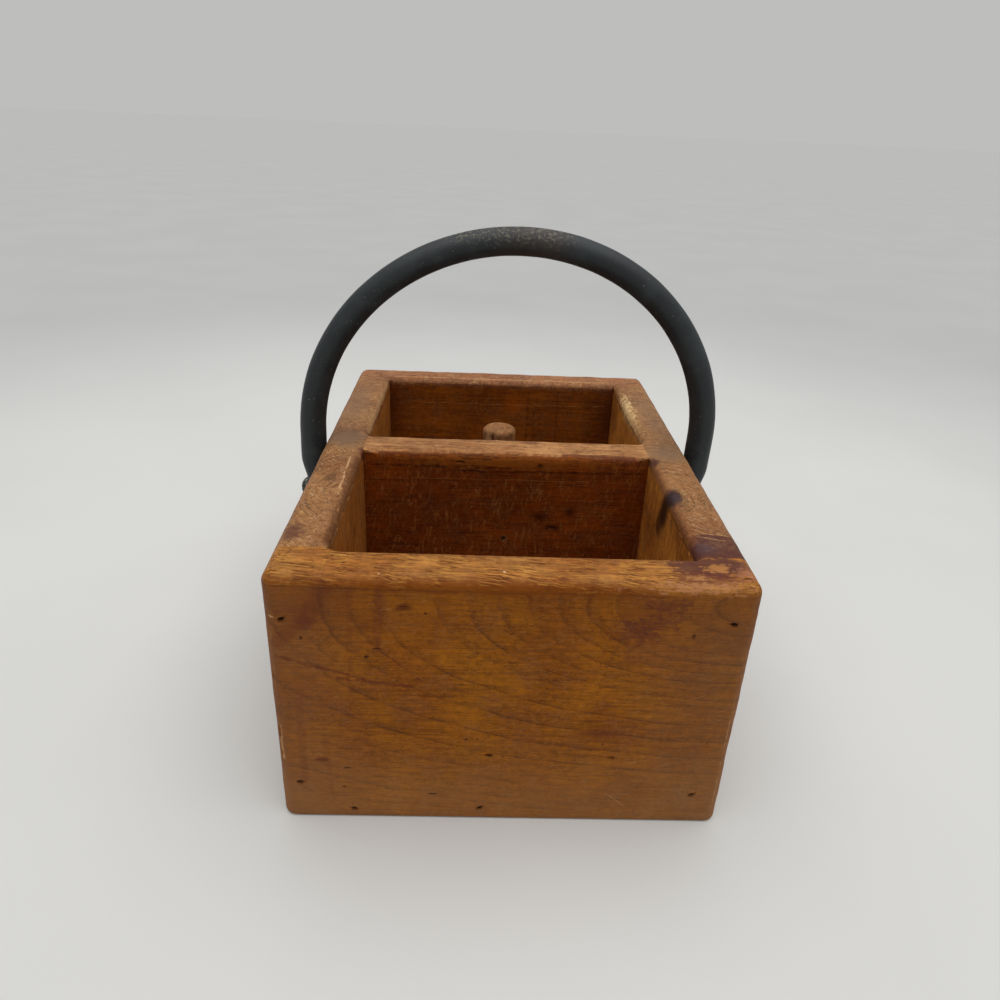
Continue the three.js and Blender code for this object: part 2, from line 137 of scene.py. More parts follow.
class Bench:
    """The modelling steps that all pieces share. Each works on one object, with nothing else selected."""

    @staticmethod
    def clear() -> None:
        """Deselects everything."""
        bpy.ops.object.select_all(action="DESELECT")

    @staticmethod
    def edit(on: bool) -> None:
        """Enters edit mode, or leaves it."""
        bpy.ops.object.mode_set(mode="EDIT" if on else "OBJECT")

    @staticmethod
    def only(piece: Piece) -> None:
        """Selects one object alone and makes it the active one.

        Args:
            piece: the object.
        """
        Bench.clear()
        piece.select_set(True)
        bpy.context.view_layer.objects.active = piece

    @staticmethod
    def settle(name: str) -> Piece:
        """Names the object just added and puts its place, turn and size into its mesh.

        Args:
            name: the object's new name.

        Returns:
            The object, at the origin, unturned and unscaled.
        """
        piece = bpy.context.object
        piece.name = name
        piece.data.name = name
        bpy.ops.object.transform_apply(location=True, rotation=True, scale=True)
        return piece

    @staticmethod
    def block(name: str, low: Vector, high: Vector) -> Piece:
        """Adds a block between two corners.

        Args:
            name: the block's name.
            low: its lowest corner.
            high: its highest corner.

        Returns:
            The block.
        """
        Bench.clear()
        bpy.ops.mesh.primitive_cube_add(size=1.0, location=(low + high) / 2)
        bpy.context.object.scale = high - low
        return Bench.settle(name)

    @staticmethod
    def rod(name: str, start: Vector, end: Vector, radius: float, sides: int = 24) -> Piece:
        """Adds a straight round rod between two points.

        Args:
            name: the rod's name.
            start: the middle of one end.
            end: the middle of the other end.
            radius: the rod's radius.
            sides: how many flat sides stand for the round.

        Returns:
            The rod.
        """
        along = end - start
        turn = Vector((0, 0, 1)).rotation_difference(along).to_euler()
        Bench.clear()
        bpy.ops.mesh.primitive_cylinder_add(
            vertices=sides, radius=radius, depth=along.length, location=(start + end) / 2, rotation=turn
        )
        return Bench.settle(name)

    @staticmethod
    def pebble(place: Vector, reach: Vector, turn: Point = (0.0, 0.0, 0.0)) -> Piece:
        """Adds a small rough ball, used to take a chip or a dent out of a board.

        Args:
            place: the middle of the ball.
            reach: its half sizes before it is turned.
            turn: how it is turned, in radians.

        Returns:
            The ball.
        """
        Bench.clear()
        bpy.ops.mesh.primitive_ico_sphere_add(subdivisions=2, radius=1.0, location=place, rotation=turn)
        bpy.context.object.scale = reach
        return Bench.settle("pebble")

    @staticmethod
    def pick_edges(piece: Piece, test: EdgeTest) -> None:
        """Enters edit mode with only those edges selected whose two ends pass a test.

        Args:
            piece: the object to edit.
            test: says yes or no for an edge's two end points.
        """
        Bench.only(piece)
        Bench.edit(True)
        bpy.ops.mesh.select_mode(type="EDGE")
        bpy.ops.mesh.select_all(action="DESELECT")
        Bench.edit(False)
        corners = piece.data.vertices
        for edge in piece.data.edges:
            start, end = edge.vertices
            edge.select = test(corners[start].co, corners[end].co)
        Bench.edit(True)

    @staticmethod
    def round_edges(piece: Piece, test: EdgeTest, radius: float, steps: int, profile: float = 0.5) -> None:
        """Rounds the edges that pass a test.

        Args:
            piece: the object to edit.
            test: says yes or no for an edge's two end points.
            radius: how far the rounding reaches on each side.
            steps: how many faces make the round.
            profile: 0.5 for a quarter circle, less for a flatter or hollow one.
        """
        Bench.pick_edges(piece, test)
        bpy.ops.mesh.bevel(
            offset=radius, segments=steps, profile=profile, affect="EDGES", clamp_overlap=False
        )
        Bench.edit(False)

    @staticmethod
    def carve(piece: Piece, tool: Piece, operation: str = "DIFFERENCE") -> None:
        """Cuts one object with another, or joins it on, and throws the tool away.

        Args:
            piece: the object that is kept.
            tool: the object that cuts or joins.
            operation: DIFFERENCE to cut, UNION to join on.
        """
        Bench.only(piece)
        cut = piece.modifiers.new("carve", "BOOLEAN")
        cut.operation = operation
        cut.solver = "EXACT"
        cut.object = tool
        bpy.ops.object.modifier_apply(modifier=cut.name)
        bpy.data.meshes.remove(tool.data)

    @staticmethod
    def break_corners(piece: Piece, width: float) -> None:
        """Takes the sharpness off every corner that turns by more than 50 degrees.

        Args:
            piece: the object to edit.
            width: how wide the new faces are.
        """
        Bench.only(piece)
        soften = piece.modifiers.new("soften", "BEVEL")
        soften.width = width
        soften.segments = 2
        soften.limit_method = "ANGLE"
        soften.angle_limit = math.radians(50)
        soften.use_clamp_overlap = True
        bpy.ops.object.modifier_apply(modifier=soften.name)

    @staticmethod
    def score(piece: Piece, axis: Axis, low: float, high: float, step: float) -> None:
        """Divides an object's faces with straight cuts at even distances along one axis.

        Args:
            piece: the object to edit.
            axis: the axis along which the cuts follow each other.
            low: where the row of cuts starts.
            high: where it ends.
            step: the distance between two cuts.
        """
        normal = Vector((0, 0, 0))
        normal[axis.value] = 1
        Bench.only(piece)
        Bench.edit(True)
        bpy.ops.mesh.select_mode(type="FACE")
        count = round((high - low) / step)
        for cut in range(1, count):
            bpy.ops.mesh.select_all(action="SELECT")
            spot = normal * (low + (high - low) * cut / count)
            bpy.ops.mesh.bisect(plane_co=spot, plane_no=normal, threshold=1e-6)
        Bench.edit(False)

    @staticmethod
    def wear(piece: Piece, weight: Callable[[Vector], float], depth: float, grain: float) -> None:
        """Makes a surface slightly uneven, as years of handling do.

        Args:
            piece: the object to edit.
            weight: how much each place is worn, from 0 to 1.
            depth: the full height between the deepest and the highest place.
            grain: the size of the hollows.
        """
        Bench.only(piece)
        group = piece.vertex_groups.new(name="worn")
        for corner in piece.data.vertices:
            group.add([corner.index], weight(corner.co), "REPLACE")
        clouds = bpy.data.textures.new("hollows", "CLOUDS")
        clouds.noise_scale = grain
        clouds.noise_depth = 2
        uneven = piece.modifiers.new("uneven", "DISPLACE")
        uneven.texture = clouds
        uneven.texture_coords = "LOCAL"
        uneven.strength = depth
        uneven.mid_level = 0.62
        uneven.vertex_group = group.name
        bpy.ops.object.modifier_apply(modifier=uneven.name)
        piece.vertex_groups.clear()
        bpy.data.textures.remove(clouds)

    @staticmethod
    def finish(piece: Piece, angle: float = 20.0) -> Piece:
        """Cleans a finished mesh and shades its rounds smoothly.

        Args:
            piece: the object to finish.
            angle: faces that meet more sharply than this, in degrees, keep a crisp edge.

        Returns:
            The same object.
        """
        Bench.only(piece)
        Bench.edit(True)
        bpy.ops.mesh.select_all(action="SELECT")
        bpy.ops.mesh.remove_doubles(threshold=1e-6)
        bpy.ops.mesh.normals_make_consistent(inside=False)
        Bench.edit(False)
        bpy.ops.object.shade_smooth_by_angle(angle=math.radians(angle))
        return piece

    @staticmethod
    def hand_in(piece: Piece, body: str, node: str, slot: str, finish: bpy.types.Material) -> Piece:
        """Dresses a finished piece and puts it in the place of its node.

        Args:
            piece: the piece.
            body: the moving body that it rides on.
            node: the node that it replaces.
            slot: the record's material slot; not used.
            finish: its only material.

        Returns:
            The same piece.
        """
        piece.data.materials.clear()
        piece.data.materials.append(finish)
        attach(piece, body)
        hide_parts(node)
        LOG.info("%s: %d faces", piece.name, len(piece.data.polygons))
        return piece


class Wiring:
    """Adds shader nodes to one material and joins them up. Places are in millimetres."""

    def __init__(self, name: str) -> None:
        """Starts a material with one shader and the object's own coordinates.

        Args:
            name: the material's name.
        """
        self.material = bpy.data.materials.new(name)
        self.material.use_nodes = True
        self.tree = self.material.node_tree
        self.tree.nodes.clear()
        output = self.add("ShaderNodeOutputMaterial")
        self.shader = self.add("ShaderNodeBsdfPrincipled")
        self.tree.links.new(self.shader.outputs[0], output.inputs["Surface"])
        coordinates = self.add("ShaderNodeTexCoord")
        self.place = self.stretch(coordinates.outputs["Object"], (1 / MM, 1 / MM, 1 / MM))

    def add(self, kind: str, inputs: Feeds = (), **settings: object) -> Node:
        """Adds one node.

        Args:
            kind: the node's type.
            inputs: pairs of an input's name or number and what it is fed with.
            **settings: the node's properties.

        Returns:
            The node.
        """
        node = self.tree.nodes.new(kind)
        for name, value in settings.items():
            setattr(node, name, value)
        for name, value in inputs:
            self.feed(node.inputs[name], value)
        return node

    def feed(self, socket: Socket, value: object) -> None:
        """Links a socket to another, or gives it a fixed value.

        Args:
            socket: the input socket.
            value: an output socket, a number, a vector or a colour.
        """
        if isinstance(value, bpy.types.NodeSocket):
            self.tree.links.new(value, socket)
        else:
            socket.default_value = value

    def number(self, operation: str, *values: object) -> Socket:
        """Works out one number from up to three numbers or sockets, by an operation such as ADD."""
        return self.add("ShaderNodeMath", enumerate(values), operation=operation).outputs[0]

    def times(self, first: object, second: object) -> Socket:
        """Multiplies two numbers."""
        return self.number("MULTIPLY", first, second)

    def sum_of(self, *terms: tuple[Socket, float]) -> Socket:
        """Adds up some values, each times its own share.

        Args:
            *terms: pairs of a value and its share.

        Returns:
            The total's socket.
        """
        total: object = 0.0
        for value, share in terms:
            total = self.number("MULTIPLY_ADD", value, share, total)
        return total

    def vector(self, operation: str, first: object, second: object, result: str = "Vector") -> Socket:
        """Works out a vector from two others, or a number where the result is called Value."""
        node = self.add("ShaderNodeVectorMath", enumerate((first, second)), operation=operation)
        return node.outputs[result]

    def stretch(self, vector: Socket, factors: Point) -> Socket:
        """Multiplies each part of a vector by its own factor."""
        return self.vector("MULTIPLY", vector, factors)

    def turn(self, vector: Socket, degrees: Point) -> Socket:
        """Turns a vector about the origin, by an angle in degrees about each axis."""
        inputs = {"Vector": vector, "Rotation": tuple(math.radians(angle) for angle in degrees)}
        return self.add("ShaderNodeVectorRotate", inputs.items(), rotation_type="EULER_XYZ").outputs[0]

    def part(self, vector: Socket, axis: Axis) -> Socket:
        """Takes one coordinate out of a vector."""
        return self.add("ShaderNodeSeparateXYZ", [(0, vector)]).outputs[axis.value]

    def length(self, vector: Socket) -> Socket:
        """Measures a vector's length."""
        return self.vector("LENGTH", vector, (0.0, 0.0, 0.0), "Value")

    def clouds(self, vector: Socket, size: float, detail: float, rough: float) -> Node:
        """Adds clouds of one size, with finer layers: detail says how many, and rough how strong."""
        inputs = {"Vector": vector, "Scale": 1 / size, "Detail": detail, "Roughness": rough}
        return self.add("ShaderNodeTexNoise", inputs.items())

    def noise(self, vector: Socket, size: float, detail: float = 2.0, rough: float = 0.5) -> Socket:
        """Adds a cloudy pattern between 0 and 1."""
        return self.clouds(vector, size, detail, rough).outputs[0]

    def wander(self, vector: Socket, size: float, reach: float) -> Socket:
        """Lets coordinates wander once over each size, so that straight things look drawn by hand."""
        drift = self.vector("SUBTRACT", self.clouds(vector, size, 2.0, 0.5).outputs[1], (0.5, 0.5, 0.5))
        return self.vector("ADD", vector, self.stretch(drift, (reach, reach, reach)))

    def between(self, value: Socket, low: float, high: float, start: float = 0.0, end: float = 1.0) -> Socket:
        """Eases a value: the result is start at low and end at high, which may be below low."""
        inputs = {"Value": value, "From Min": low, "From Max": high, "To Min": start, "To Max": end}
        return self.add("ShaderNodeMapRange", inputs.items(), interpolation_type="SMOOTHSTEP").outputs[0]

    def blend(
        self, amount: object, first: object, second: object, mode: str = "MIX", kind: str = "RGBA"
    ) -> Socket:
        """Mixes two colours or two numbers.

        Args:
            amount: how much of the second, from 0 to 1.
            first: the first colour or number.
            second: the second one.
            mode: how they are mixed.
            kind: RGBA for colours, FLOAT for numbers.

        Returns:
            The mixed colour or number.
        """
        first_in, second_in, result = MIX_SOCKETS[kind]
        inputs = {"Factor": amount, first_in: first, second_in: second}
        return self.add("ShaderNodeMix", inputs.items(), data_type=kind, blend_type=mode).outputs[result]

    def dim(self, body: Socket, value: Socket) -> Socket:
        """Darkens or brightens a colour by a number."""
        grey = self.add("ShaderNodeCombineColor", enumerate([value] * 3))
        return self.blend(1.0, body, grey.outputs[0], "MULTIPLY")

    def bump(self, height: Socket, depth: float, strength: float = 1.0) -> None:
        """Gives the shader a fine relief.

        Args:
            height: the relief, from 0 to 1.
            depth: its depth in millimetres.
            strength: how strongly it shows.
        """
        inputs = {"Strength": strength, "Distance": depth * MM, "Height": height}
        node = self.add("ShaderNodeBump", inputs.items())
        self.feed(self.shader.inputs["Normal"], node.outputs[0])

    def dress(self, colour: Socket, roughness: object, specular: float, metallic: object = 0.0) -> None:
        """Sets the shader's main values.

        Args:
            colour: the surface's colour.
            roughness: its roughness.
            specular: how strongly it reflects, where 0.5 is plain varnish.
            metallic: how metallic it is.
        """
        self.feed(self.shader.inputs["Base Color"], colour)
        self.feed(self.shader.inputs["Roughness"], roughness)
        self.feed(self.shader.inputs["Specular IOR Level"], specular)
        self.feed(self.shader.inputs["Metallic"], metallic)


@dataclass
class Canvas:
    """What the marks of one wood finish are drawn with.

    Attributes:
        wiring: the material's nodes.
        place: coordinates in millimetres that wander a little.
        rim: a fine pattern with streaks along the grain, from 0 to 1.
        patchy: a coarser pattern, from 0 to 1.
        zones: how much of each zone a place belongs to.
    """

    wiring: Wiring
    place: Socket
    rim: Socket
    patchy: Socket
    zones: dict[Zone, Socket]

    def inside_zone(self, mask: Socket, zone: Zone) -> Socket:
        """Limits a mask to one zone."""
        return mask if zone is Zone.ANY else self.wiring.times(mask, self.zones[zone])


@dataclass(frozen=True)
class Spot:
    """A stain, knot or rubbed patch, and also painted patches of shade.

    Attributes:
        centre: its middle.
        reach: its half sizes.
        colour: its colour.
        strength: how much of that colour shows, from 0 to 1.
        ragged: how uneven its rim is, from 0 for smooth to 6 for loose flecks.
        soft: how much of its reach the rim takes, from 0 to 1.
    """

    centre: Point
    reach: Point
    colour: Colour
    strength: float = 0.7
    ragged: float = 0.8
    soft: float = 0.5

    def mask(self, canvas: Canvas) -> Socket:
        """Gives how much of this spot shows at each place.

        Args:
            canvas: what it is drawn with.

        Returns:
            A mask.
        """
        wiring = canvas.wiring
        scale = (1 / self.reach[0], 1 / self.reach[1], 1 / self.reach[2])
        distance = wiring.length(wiring.stretch(wiring.vector("SUBTRACT", canvas.place, self.centre), scale))
        pushed = wiring.number("MULTIPLY_ADD", canvas.rim, self.ragged, distance)
        middle = self.ragged / 2
        return wiring.between(pushed, 1 - self.soft + middle, 1 + middle, self.strength, 0.0)


@dataclass(frozen=True)
class Stroke:
    """A scratch, seam or rubbed edge along a line, and also painted lines of shade and highlight.

    Attributes:
        start: one end.
        end: the other end.
        width: its half width.
        colour: its colour.
        strength: how much of that colour shows, from 0 to 1.
        broken: whether it comes and goes along its length.
    """

    start: Point
    end: Point
    width: float
    colour: Colour
    strength: float = 0.7
    broken: bool = True

    def mask(self, canvas: Canvas) -> Socket:
        """Gives how much of this stroke shows at each place.

        Args:
            canvas: what it is drawn with.

        Returns:
            A mask.
        """
        wiring = canvas.wiring
        along = Vector(self.end) - Vector(self.start)
        offset = wiring.vector("SUBTRACT", canvas.place, self.start)
        share = wiring.vector("DOT_PRODUCT", offset, tuple(along / along.length_squared), "Value")
        share = wiring.number("MINIMUM", wiring.number("MAXIMUM", share, 0.0), 1.0)
        scaled = ((0, tuple(along)), ("Scale", share))
        nearest = wiring.add("ShaderNodeVectorMath", scaled, operation="SCALE")
        gap = wiring.vector("DISTANCE", offset, nearest.outputs[0], "Value")
        core = 0.3 * self.width
        mask = wiring.between(gap, core, self.width, self.strength, 0.0)
        if self.broken:
            mask = wiring.times(mask, wiring.between(canvas.rim, 0.36, 0.56))
        return mask


@dataclass(frozen=True)
class Haze:
    """A change of colour that grows along one axis.

    Attributes:
        axis: the axis.
        start: where it begins.
        full: where it is complete.
        colour: its colour.
        strength: how much of that colour shows, from 0 to 1.
        zone: the zone that it is limited to.
    """

    axis: Axis
    start: float
    full: float
    colour: Colour
    strength: float
    zone: Zone = Zone.ANY

    def mask(self, canvas: Canvas) -> Socket:
        """Gives how much of this haze shows at each place.

        Args:
            canvas: what it is drawn with.

        Returns:
            A mask.
        """
        wiring = canvas.wiring
        along = wiring.part(canvas.place, self.axis)
        grown = wiring.between(along, self.start, self.full, 0.0, self.strength)
        patchy = wiring.times(grown, wiring.between(canvas.patchy, 0.25, 0.7, 0.5, 1.0))
        return canvas.inside_zone(patchy, self.zone)


@dataclass(frozen=True)
class Scuffs:
    """A field of fine scratches that run the same way.

    Attributes:
        turn: how the field is turned from X, in degrees about each axis.
        length: how long a scratch is.
        width: how wide a scratch is.
        colour: the scratches' colour.
        strength: how much of that colour shows, from 0 to 1.
        amount: how many there are, from 0 to 1.
        zone: the zone that they are limited to.
    """

    turn: Point
    length: float
    width: float
    colour: Colour
    strength: float
    amount: float
    zone: Zone = Zone.ANY

    def mask(self, canvas: Canvas) -> Socket:
        """Gives how much of these scratches shows at each place.

        Args:
            canvas: what they are drawn with.

        Returns:
            A mask.
        """
        wiring = canvas.wiring
        drawn = wiring.stretch(
            wiring.turn(canvas.place, self.turn), (1 / self.length, 1 / self.width, 1 / self.width)
        )
        edge = 0.72 - 0.2 * self.amount
        lines = wiring.noise(drawn, 1.0, 1.0, 0.4)
        sharp = wiring.between(lines, edge, edge + 0.05, 0.0, self.strength)
        gathered = wiring.times(sharp, wiring.between(canvas.patchy, 0.4, 0.6, 0.15, 1.0))
        return canvas.inside_zone(gathered, self.zone)


Mark = Spot | Stroke | Haze | Scuffs


@dataclass(frozen=True)
class Tone:
    """How the wood looks in one zone.

    Attributes:
        light: the colour of the light wood.
        deep: the colour of the more stained wood.
        line: the colour of ring lines, fibres and pores.
        rings: how strongly the ring lines show, from 0 to 1.
        fibres: how strongly the fibres show.
        rubbed: how strongly the pale rubbed patches show.
        grimy: how strongly the dark dirty patches show.
    """

    light: Colour
    deep: Colour
    line: Colour
    rings: float = 0.4
    fibres: float = 0.4
    rubbed: float = 0.15
    grimy: float = 0.2


@dataclass(frozen=True)
class Grain:
    """How the wood of one piece was cut.

    Attributes:
        axis: the axis along which the fibres run.
        pith: a point on the middle of the tree's rings.
        spread: how far the rings are drawn out along each axis.
        ring: the distance between two rings.
        sway: how far the rings stray from true ovals.
    """

    axis: Axis
    pith: Point
    spread: Point
    ring: float
    sway: float = 7.0

    def along(self, long: float, wide: float) -> Point:
        """Gives the factors that draw a pattern out along the fibres.

        Args:
            long: the pattern's length along the fibres, in millimetres.
            wide: its width across them, in millimetres.

        Returns:
            One factor for each axis.
        """
        factors = [1 / wide, 1 / wide, 1 / wide]
        factors[self.axis.value] = 1 / long
        return (factors[0], factors[1], factors[2])

    def streaks(self, wiring: Wiring, long: float, wide: float) -> Socket:
        """Adds a streaky pattern that runs along the fibres, from 0 to 1."""
        return wiring.noise(wiring.stretch(wiring.place, self.along(long, wide)), 1.0, 2.0, 0.55)

    def rings(self, wiring: Wiring) -> Socket:
        """Adds the growth rings, each a soft band that ends in a thin dark line.

        Args:
            wiring: the material's nodes.

        Returns:
            A pattern that is 1 on the dark late wood and 0 on the light early wood.
        """
        spread = (1 / self.spread[0], 1 / self.spread[1], 1 / self.spread[2])
        drawn = wiring.stretch(wiring.vector("SUBTRACT", wiring.place, self.pith), spread)
        radius = wiring.sum_of(
            (wiring.length(drawn), 1.0),
            (wiring.noise(wiring.place, 55, 2), self.sway),
            (self.streaks(wiring, 24, 3.4), 1.3),
        )
        turns = wiring.number("DIVIDE", radius, self.ring)
        phase = wiring.number("FRACT", turns)
        chance = wiring.add("ShaderNodeTexWhiteNoise", noise_dimensions="1D")
        wiring.feed(chance.inputs["W"], wiring.number("FLOOR", turns))
        soft = wiring.between(phase, 0.25, 0.95, 0.0, 0.5)
        crisp = wiring.between(phase, 0.74, 0.9, 0.0, 0.5)
        fall = wiring.between(phase, 0.93, 1.0, 1.0, 0.0)
        strength = wiring.between(chance.outputs["Value"], 0.0, 1.0, 0.3, 1.0)
        patches = wiring.between(wiring.noise(wiring.place, 15, 3), 0.34, 0.62, 0.25, 1.0)
        total = wiring.times(wiring.number("ADD", soft, crisp), fall)
        return wiring.times(total, wiring.times(strength, patches))


@dataclass(frozen=True)
class WoodFinish:
    """Old shellacked pine: growth rings, fibres, pores, rubbed and dirty patches, and single marks.

    Attributes:
        name: the material's name.
        grain: how the wood was cut.
        face: how its outer faces look.
        inside: how it looks inside the compartments.
        top: how its rounded top looks.
        marks: stains, knots, scratches and changes of colour, in the order in which they cover each other.
        gloss: the surface's roughness.
        specular: how strongly it reflects, where 0.5 is plain varnish.
        top_start: the height at which its top's look begins.
        top_full: the height at which that look is complete.
        wavy: how far those heights stray.
        side_walls: how far from the middle, across the box, the look of the inside fades out.
        end_walls: the same from front to back.
    """

    name: str
    grain: Grain
    face: Tone
    inside: Tone
    top: Tone
    marks: tuple[Mark, ...] = ()
    gloss: float = 0.52
    specular: float = 0.12
    top_start: float = 103.6
    top_full: float = 107.4
    wavy: float = 5.0
    side_walls: tuple[float, float] = (65.6, 66.8)
    end_walls: tuple[float, float] = (99.1, 100.3)

    def zones(self, wiring: Wiring, place: Socket, rim: Socket) -> dict[Zone, Socket]:
        """Works out which zone each place belongs to.

        Args:
            wiring: the material's nodes.
            place: the coordinates, in millimetres.
            rim: the pattern by which the top's lower edge strays.

        Returns:
            A mask for each zone.
        """
        across = wiring.number("ABSOLUTE", wiring.part(place, Axis.ACROSS))
        deep = wiring.number("ABSOLUTE", wiring.part(place, Axis.DEEP))
        height = wiring.sum_of((wiring.part(place, Axis.UP), 1.0), (rim, self.wavy))
        between_sides = wiring.between(across, *self.side_walls, 1.0, 0.0)
        between_ends = wiring.between(deep, *self.end_walls, 1.0, 0.0)
        within = wiring.times(between_sides, between_ends)
        middle = self.wavy / 2
        top = wiring.between(height, self.top_start + middle, self.top_full + middle)
        inside = wiring.times(within, wiring.number("SUBTRACT", 1.0, top))
        face = wiring.number("SUBTRACT", wiring.number("SUBTRACT", 1.0, top), inside)
        return {Zone.FACE: face, Zone.INSIDE: inside, Zone.TOP: top}

    def pick(self, canvas: Canvas, name: str) -> Socket:
        """Gives one value of the tones, blended between the zones.

        Args:
            canvas: what the finish is drawn with.
            name: the value's name in Tone.

        Returns:
            The blended colour or number.
        """
        value, *others = (getattr(tone, name) for tone in (self.face, self.inside, self.top))
        kind = "RGBA" if isinstance(value, tuple) else "FLOAT"
        for zone, other in zip((Zone.INSIDE, Zone.TOP), others):
            value = canvas.wiring.blend(canvas.zones[zone], value, other, kind=kind)
        return value

    def canvas(self, wiring: Wiring) -> Canvas:
        """Prepares what the marks are drawn with.

        Args:
            wiring: the material's nodes.

        Returns:
            The canvas.
        """
        cloudy = wiring.noise(wiring.place, 2.2, 4, 0.65)
        rim = wiring.sum_of((cloudy, 0.6), (self.grain.streaks(wiring, 6, 0.6), 0.4))
        patchy = wiring.noise(wiring.place, 9, 4, 0.6)
        drawn = wiring.wander(wiring.place, 6, 1.5)
        return Canvas(wiring, drawn, rim, patchy, self.zones(wiring, wiring.place, rim))

    def fibres(self, wiring: Wiring) -> Socket:
        """Adds the streaks of the wood's fibres, fine and broad together.

        Args:
            wiring: the material's nodes.

        Returns:
            The streaks, from 0 to 1.
        """
        fine = self.grain.streaks(wiring, 8, 0.42)
        middle = self.grain.streaks(wiring, 20, 1.1)
        broad = self.grain.streaks(wiring, 46, 3.8)
        return wiring.between(wiring.sum_of((fine, 0.45), (middle, 0.33), (broad, 0.22)), 0.4, 0.62)

    def pits(self, wiring: Wiring) -> Socket:
        """Adds short dark dashes along the fibres and small round pits.

        Args:
            wiring: the material's nodes.

        Returns:
            A mask.
        """
        dashes = wiring.between(self.grain.streaks(wiring, 3.0, 0.4), 0.62, 0.7)
        dots = wiring.between(wiring.noise(wiring.place, 0.9, 1, 0.4), 0.68, 0.74)
        gathered = wiring.between(wiring.noise(wiring.place, 19, 3), 0.4, 0.62, 0.15, 1.0)
        return wiring.times(wiring.number("MAXIMUM", dashes, dots), gathered)

    def rubbed(self, canvas: Canvas) -> Socket:
        """Adds ragged patches where the finish is rubbed off.

        Args:
            canvas: what they are drawn with.

        Returns:
            A mask.
        """
        wiring = canvas.wiring
        patches = wiring.between(wiring.noise(wiring.place, 12, 6, 0.72), 0.5, 0.6)
        flecks = wiring.between(wiring.noise(wiring.place, 1.5, 3, 0.6), 0.5, 0.64)
        mixed = wiring.sum_of((patches, 0.55), (flecks, 0.55))
        return wiring.number("MINIMUM", mixed, 1.0)

    def body(self, canvas: Canvas, rings: Socket, fibres: Socket, pits: Socket) -> Socket:
        """Builds up the wood's colour without its single marks.

        Args:
            canvas: what the finish is drawn with.
            rings: the growth rings.
            fibres: the streaks.
            pits: the dashes and pits.

        Returns:
            The colour.
        """
        wiring = canvas.wiring
        line = self.pick(canvas, "line")
        cloud = wiring.between(wiring.noise(wiring.place, 24, 4, 0.6), 0.36, 0.64)
        body = wiring.blend(cloud, self.pick(canvas, "light"), self.pick(canvas, "deep"))
        for pattern, name in ((rings, "rings"), (fibres, "fibres")):
            body = wiring.blend(wiring.times(pattern, self.pick(canvas, name)), body, line)
        mottled = wiring.noise(wiring.place, 2.8, 5, 0.68)
        body = wiring.dim(body, wiring.between(mottled, 0.32, 0.68, 0.84, 1.16))
        grime = wiring.between(wiring.noise(wiring.place, 16, 6, 0.7), 0.52, 0.64)
        grime = wiring.times(grime, self.pick(canvas, "grimy"))
        body = wiring.blend(grime, body, line)
        rubbed = wiring.times(self.rubbed(canvas), self.pick(canvas, "rubbed"))
        body = wiring.blend(rubbed, body, PALE_WEAR_AND_HIGHLIGHT)
        return wiring.blend(wiring.times(pits, 0.6), body, line)

    def material(self) -> bpy.types.Material:
        """Builds the material.

        Returns:
            The material.
        """
        wiring = Wiring(self.name)
        canvas = self.canvas(wiring)
        rings = self.grain.rings(wiring)
        fibres = self.fibres(wiring)
        pits = self.pits(wiring)
        body = self.body(canvas, rings, fibres, pits)
        for mark in self.marks:
            body = wiring.blend(mark.mask(canvas), body, mark.colour)
        rough = wiring.between(canvas.patchy, 0.3, 0.7, self.gloss - 0.08, self.gloss + 0.12)
        wiring.dress(body, rough, self.specular)
        relief = wiring.sum_of((canvas.rim, 0.7), (fibres, -0.4), (rings, -0.25), (pits, -0.9))
        wiring.bump(relief, 0.13, 0.8)
        return wiring.material


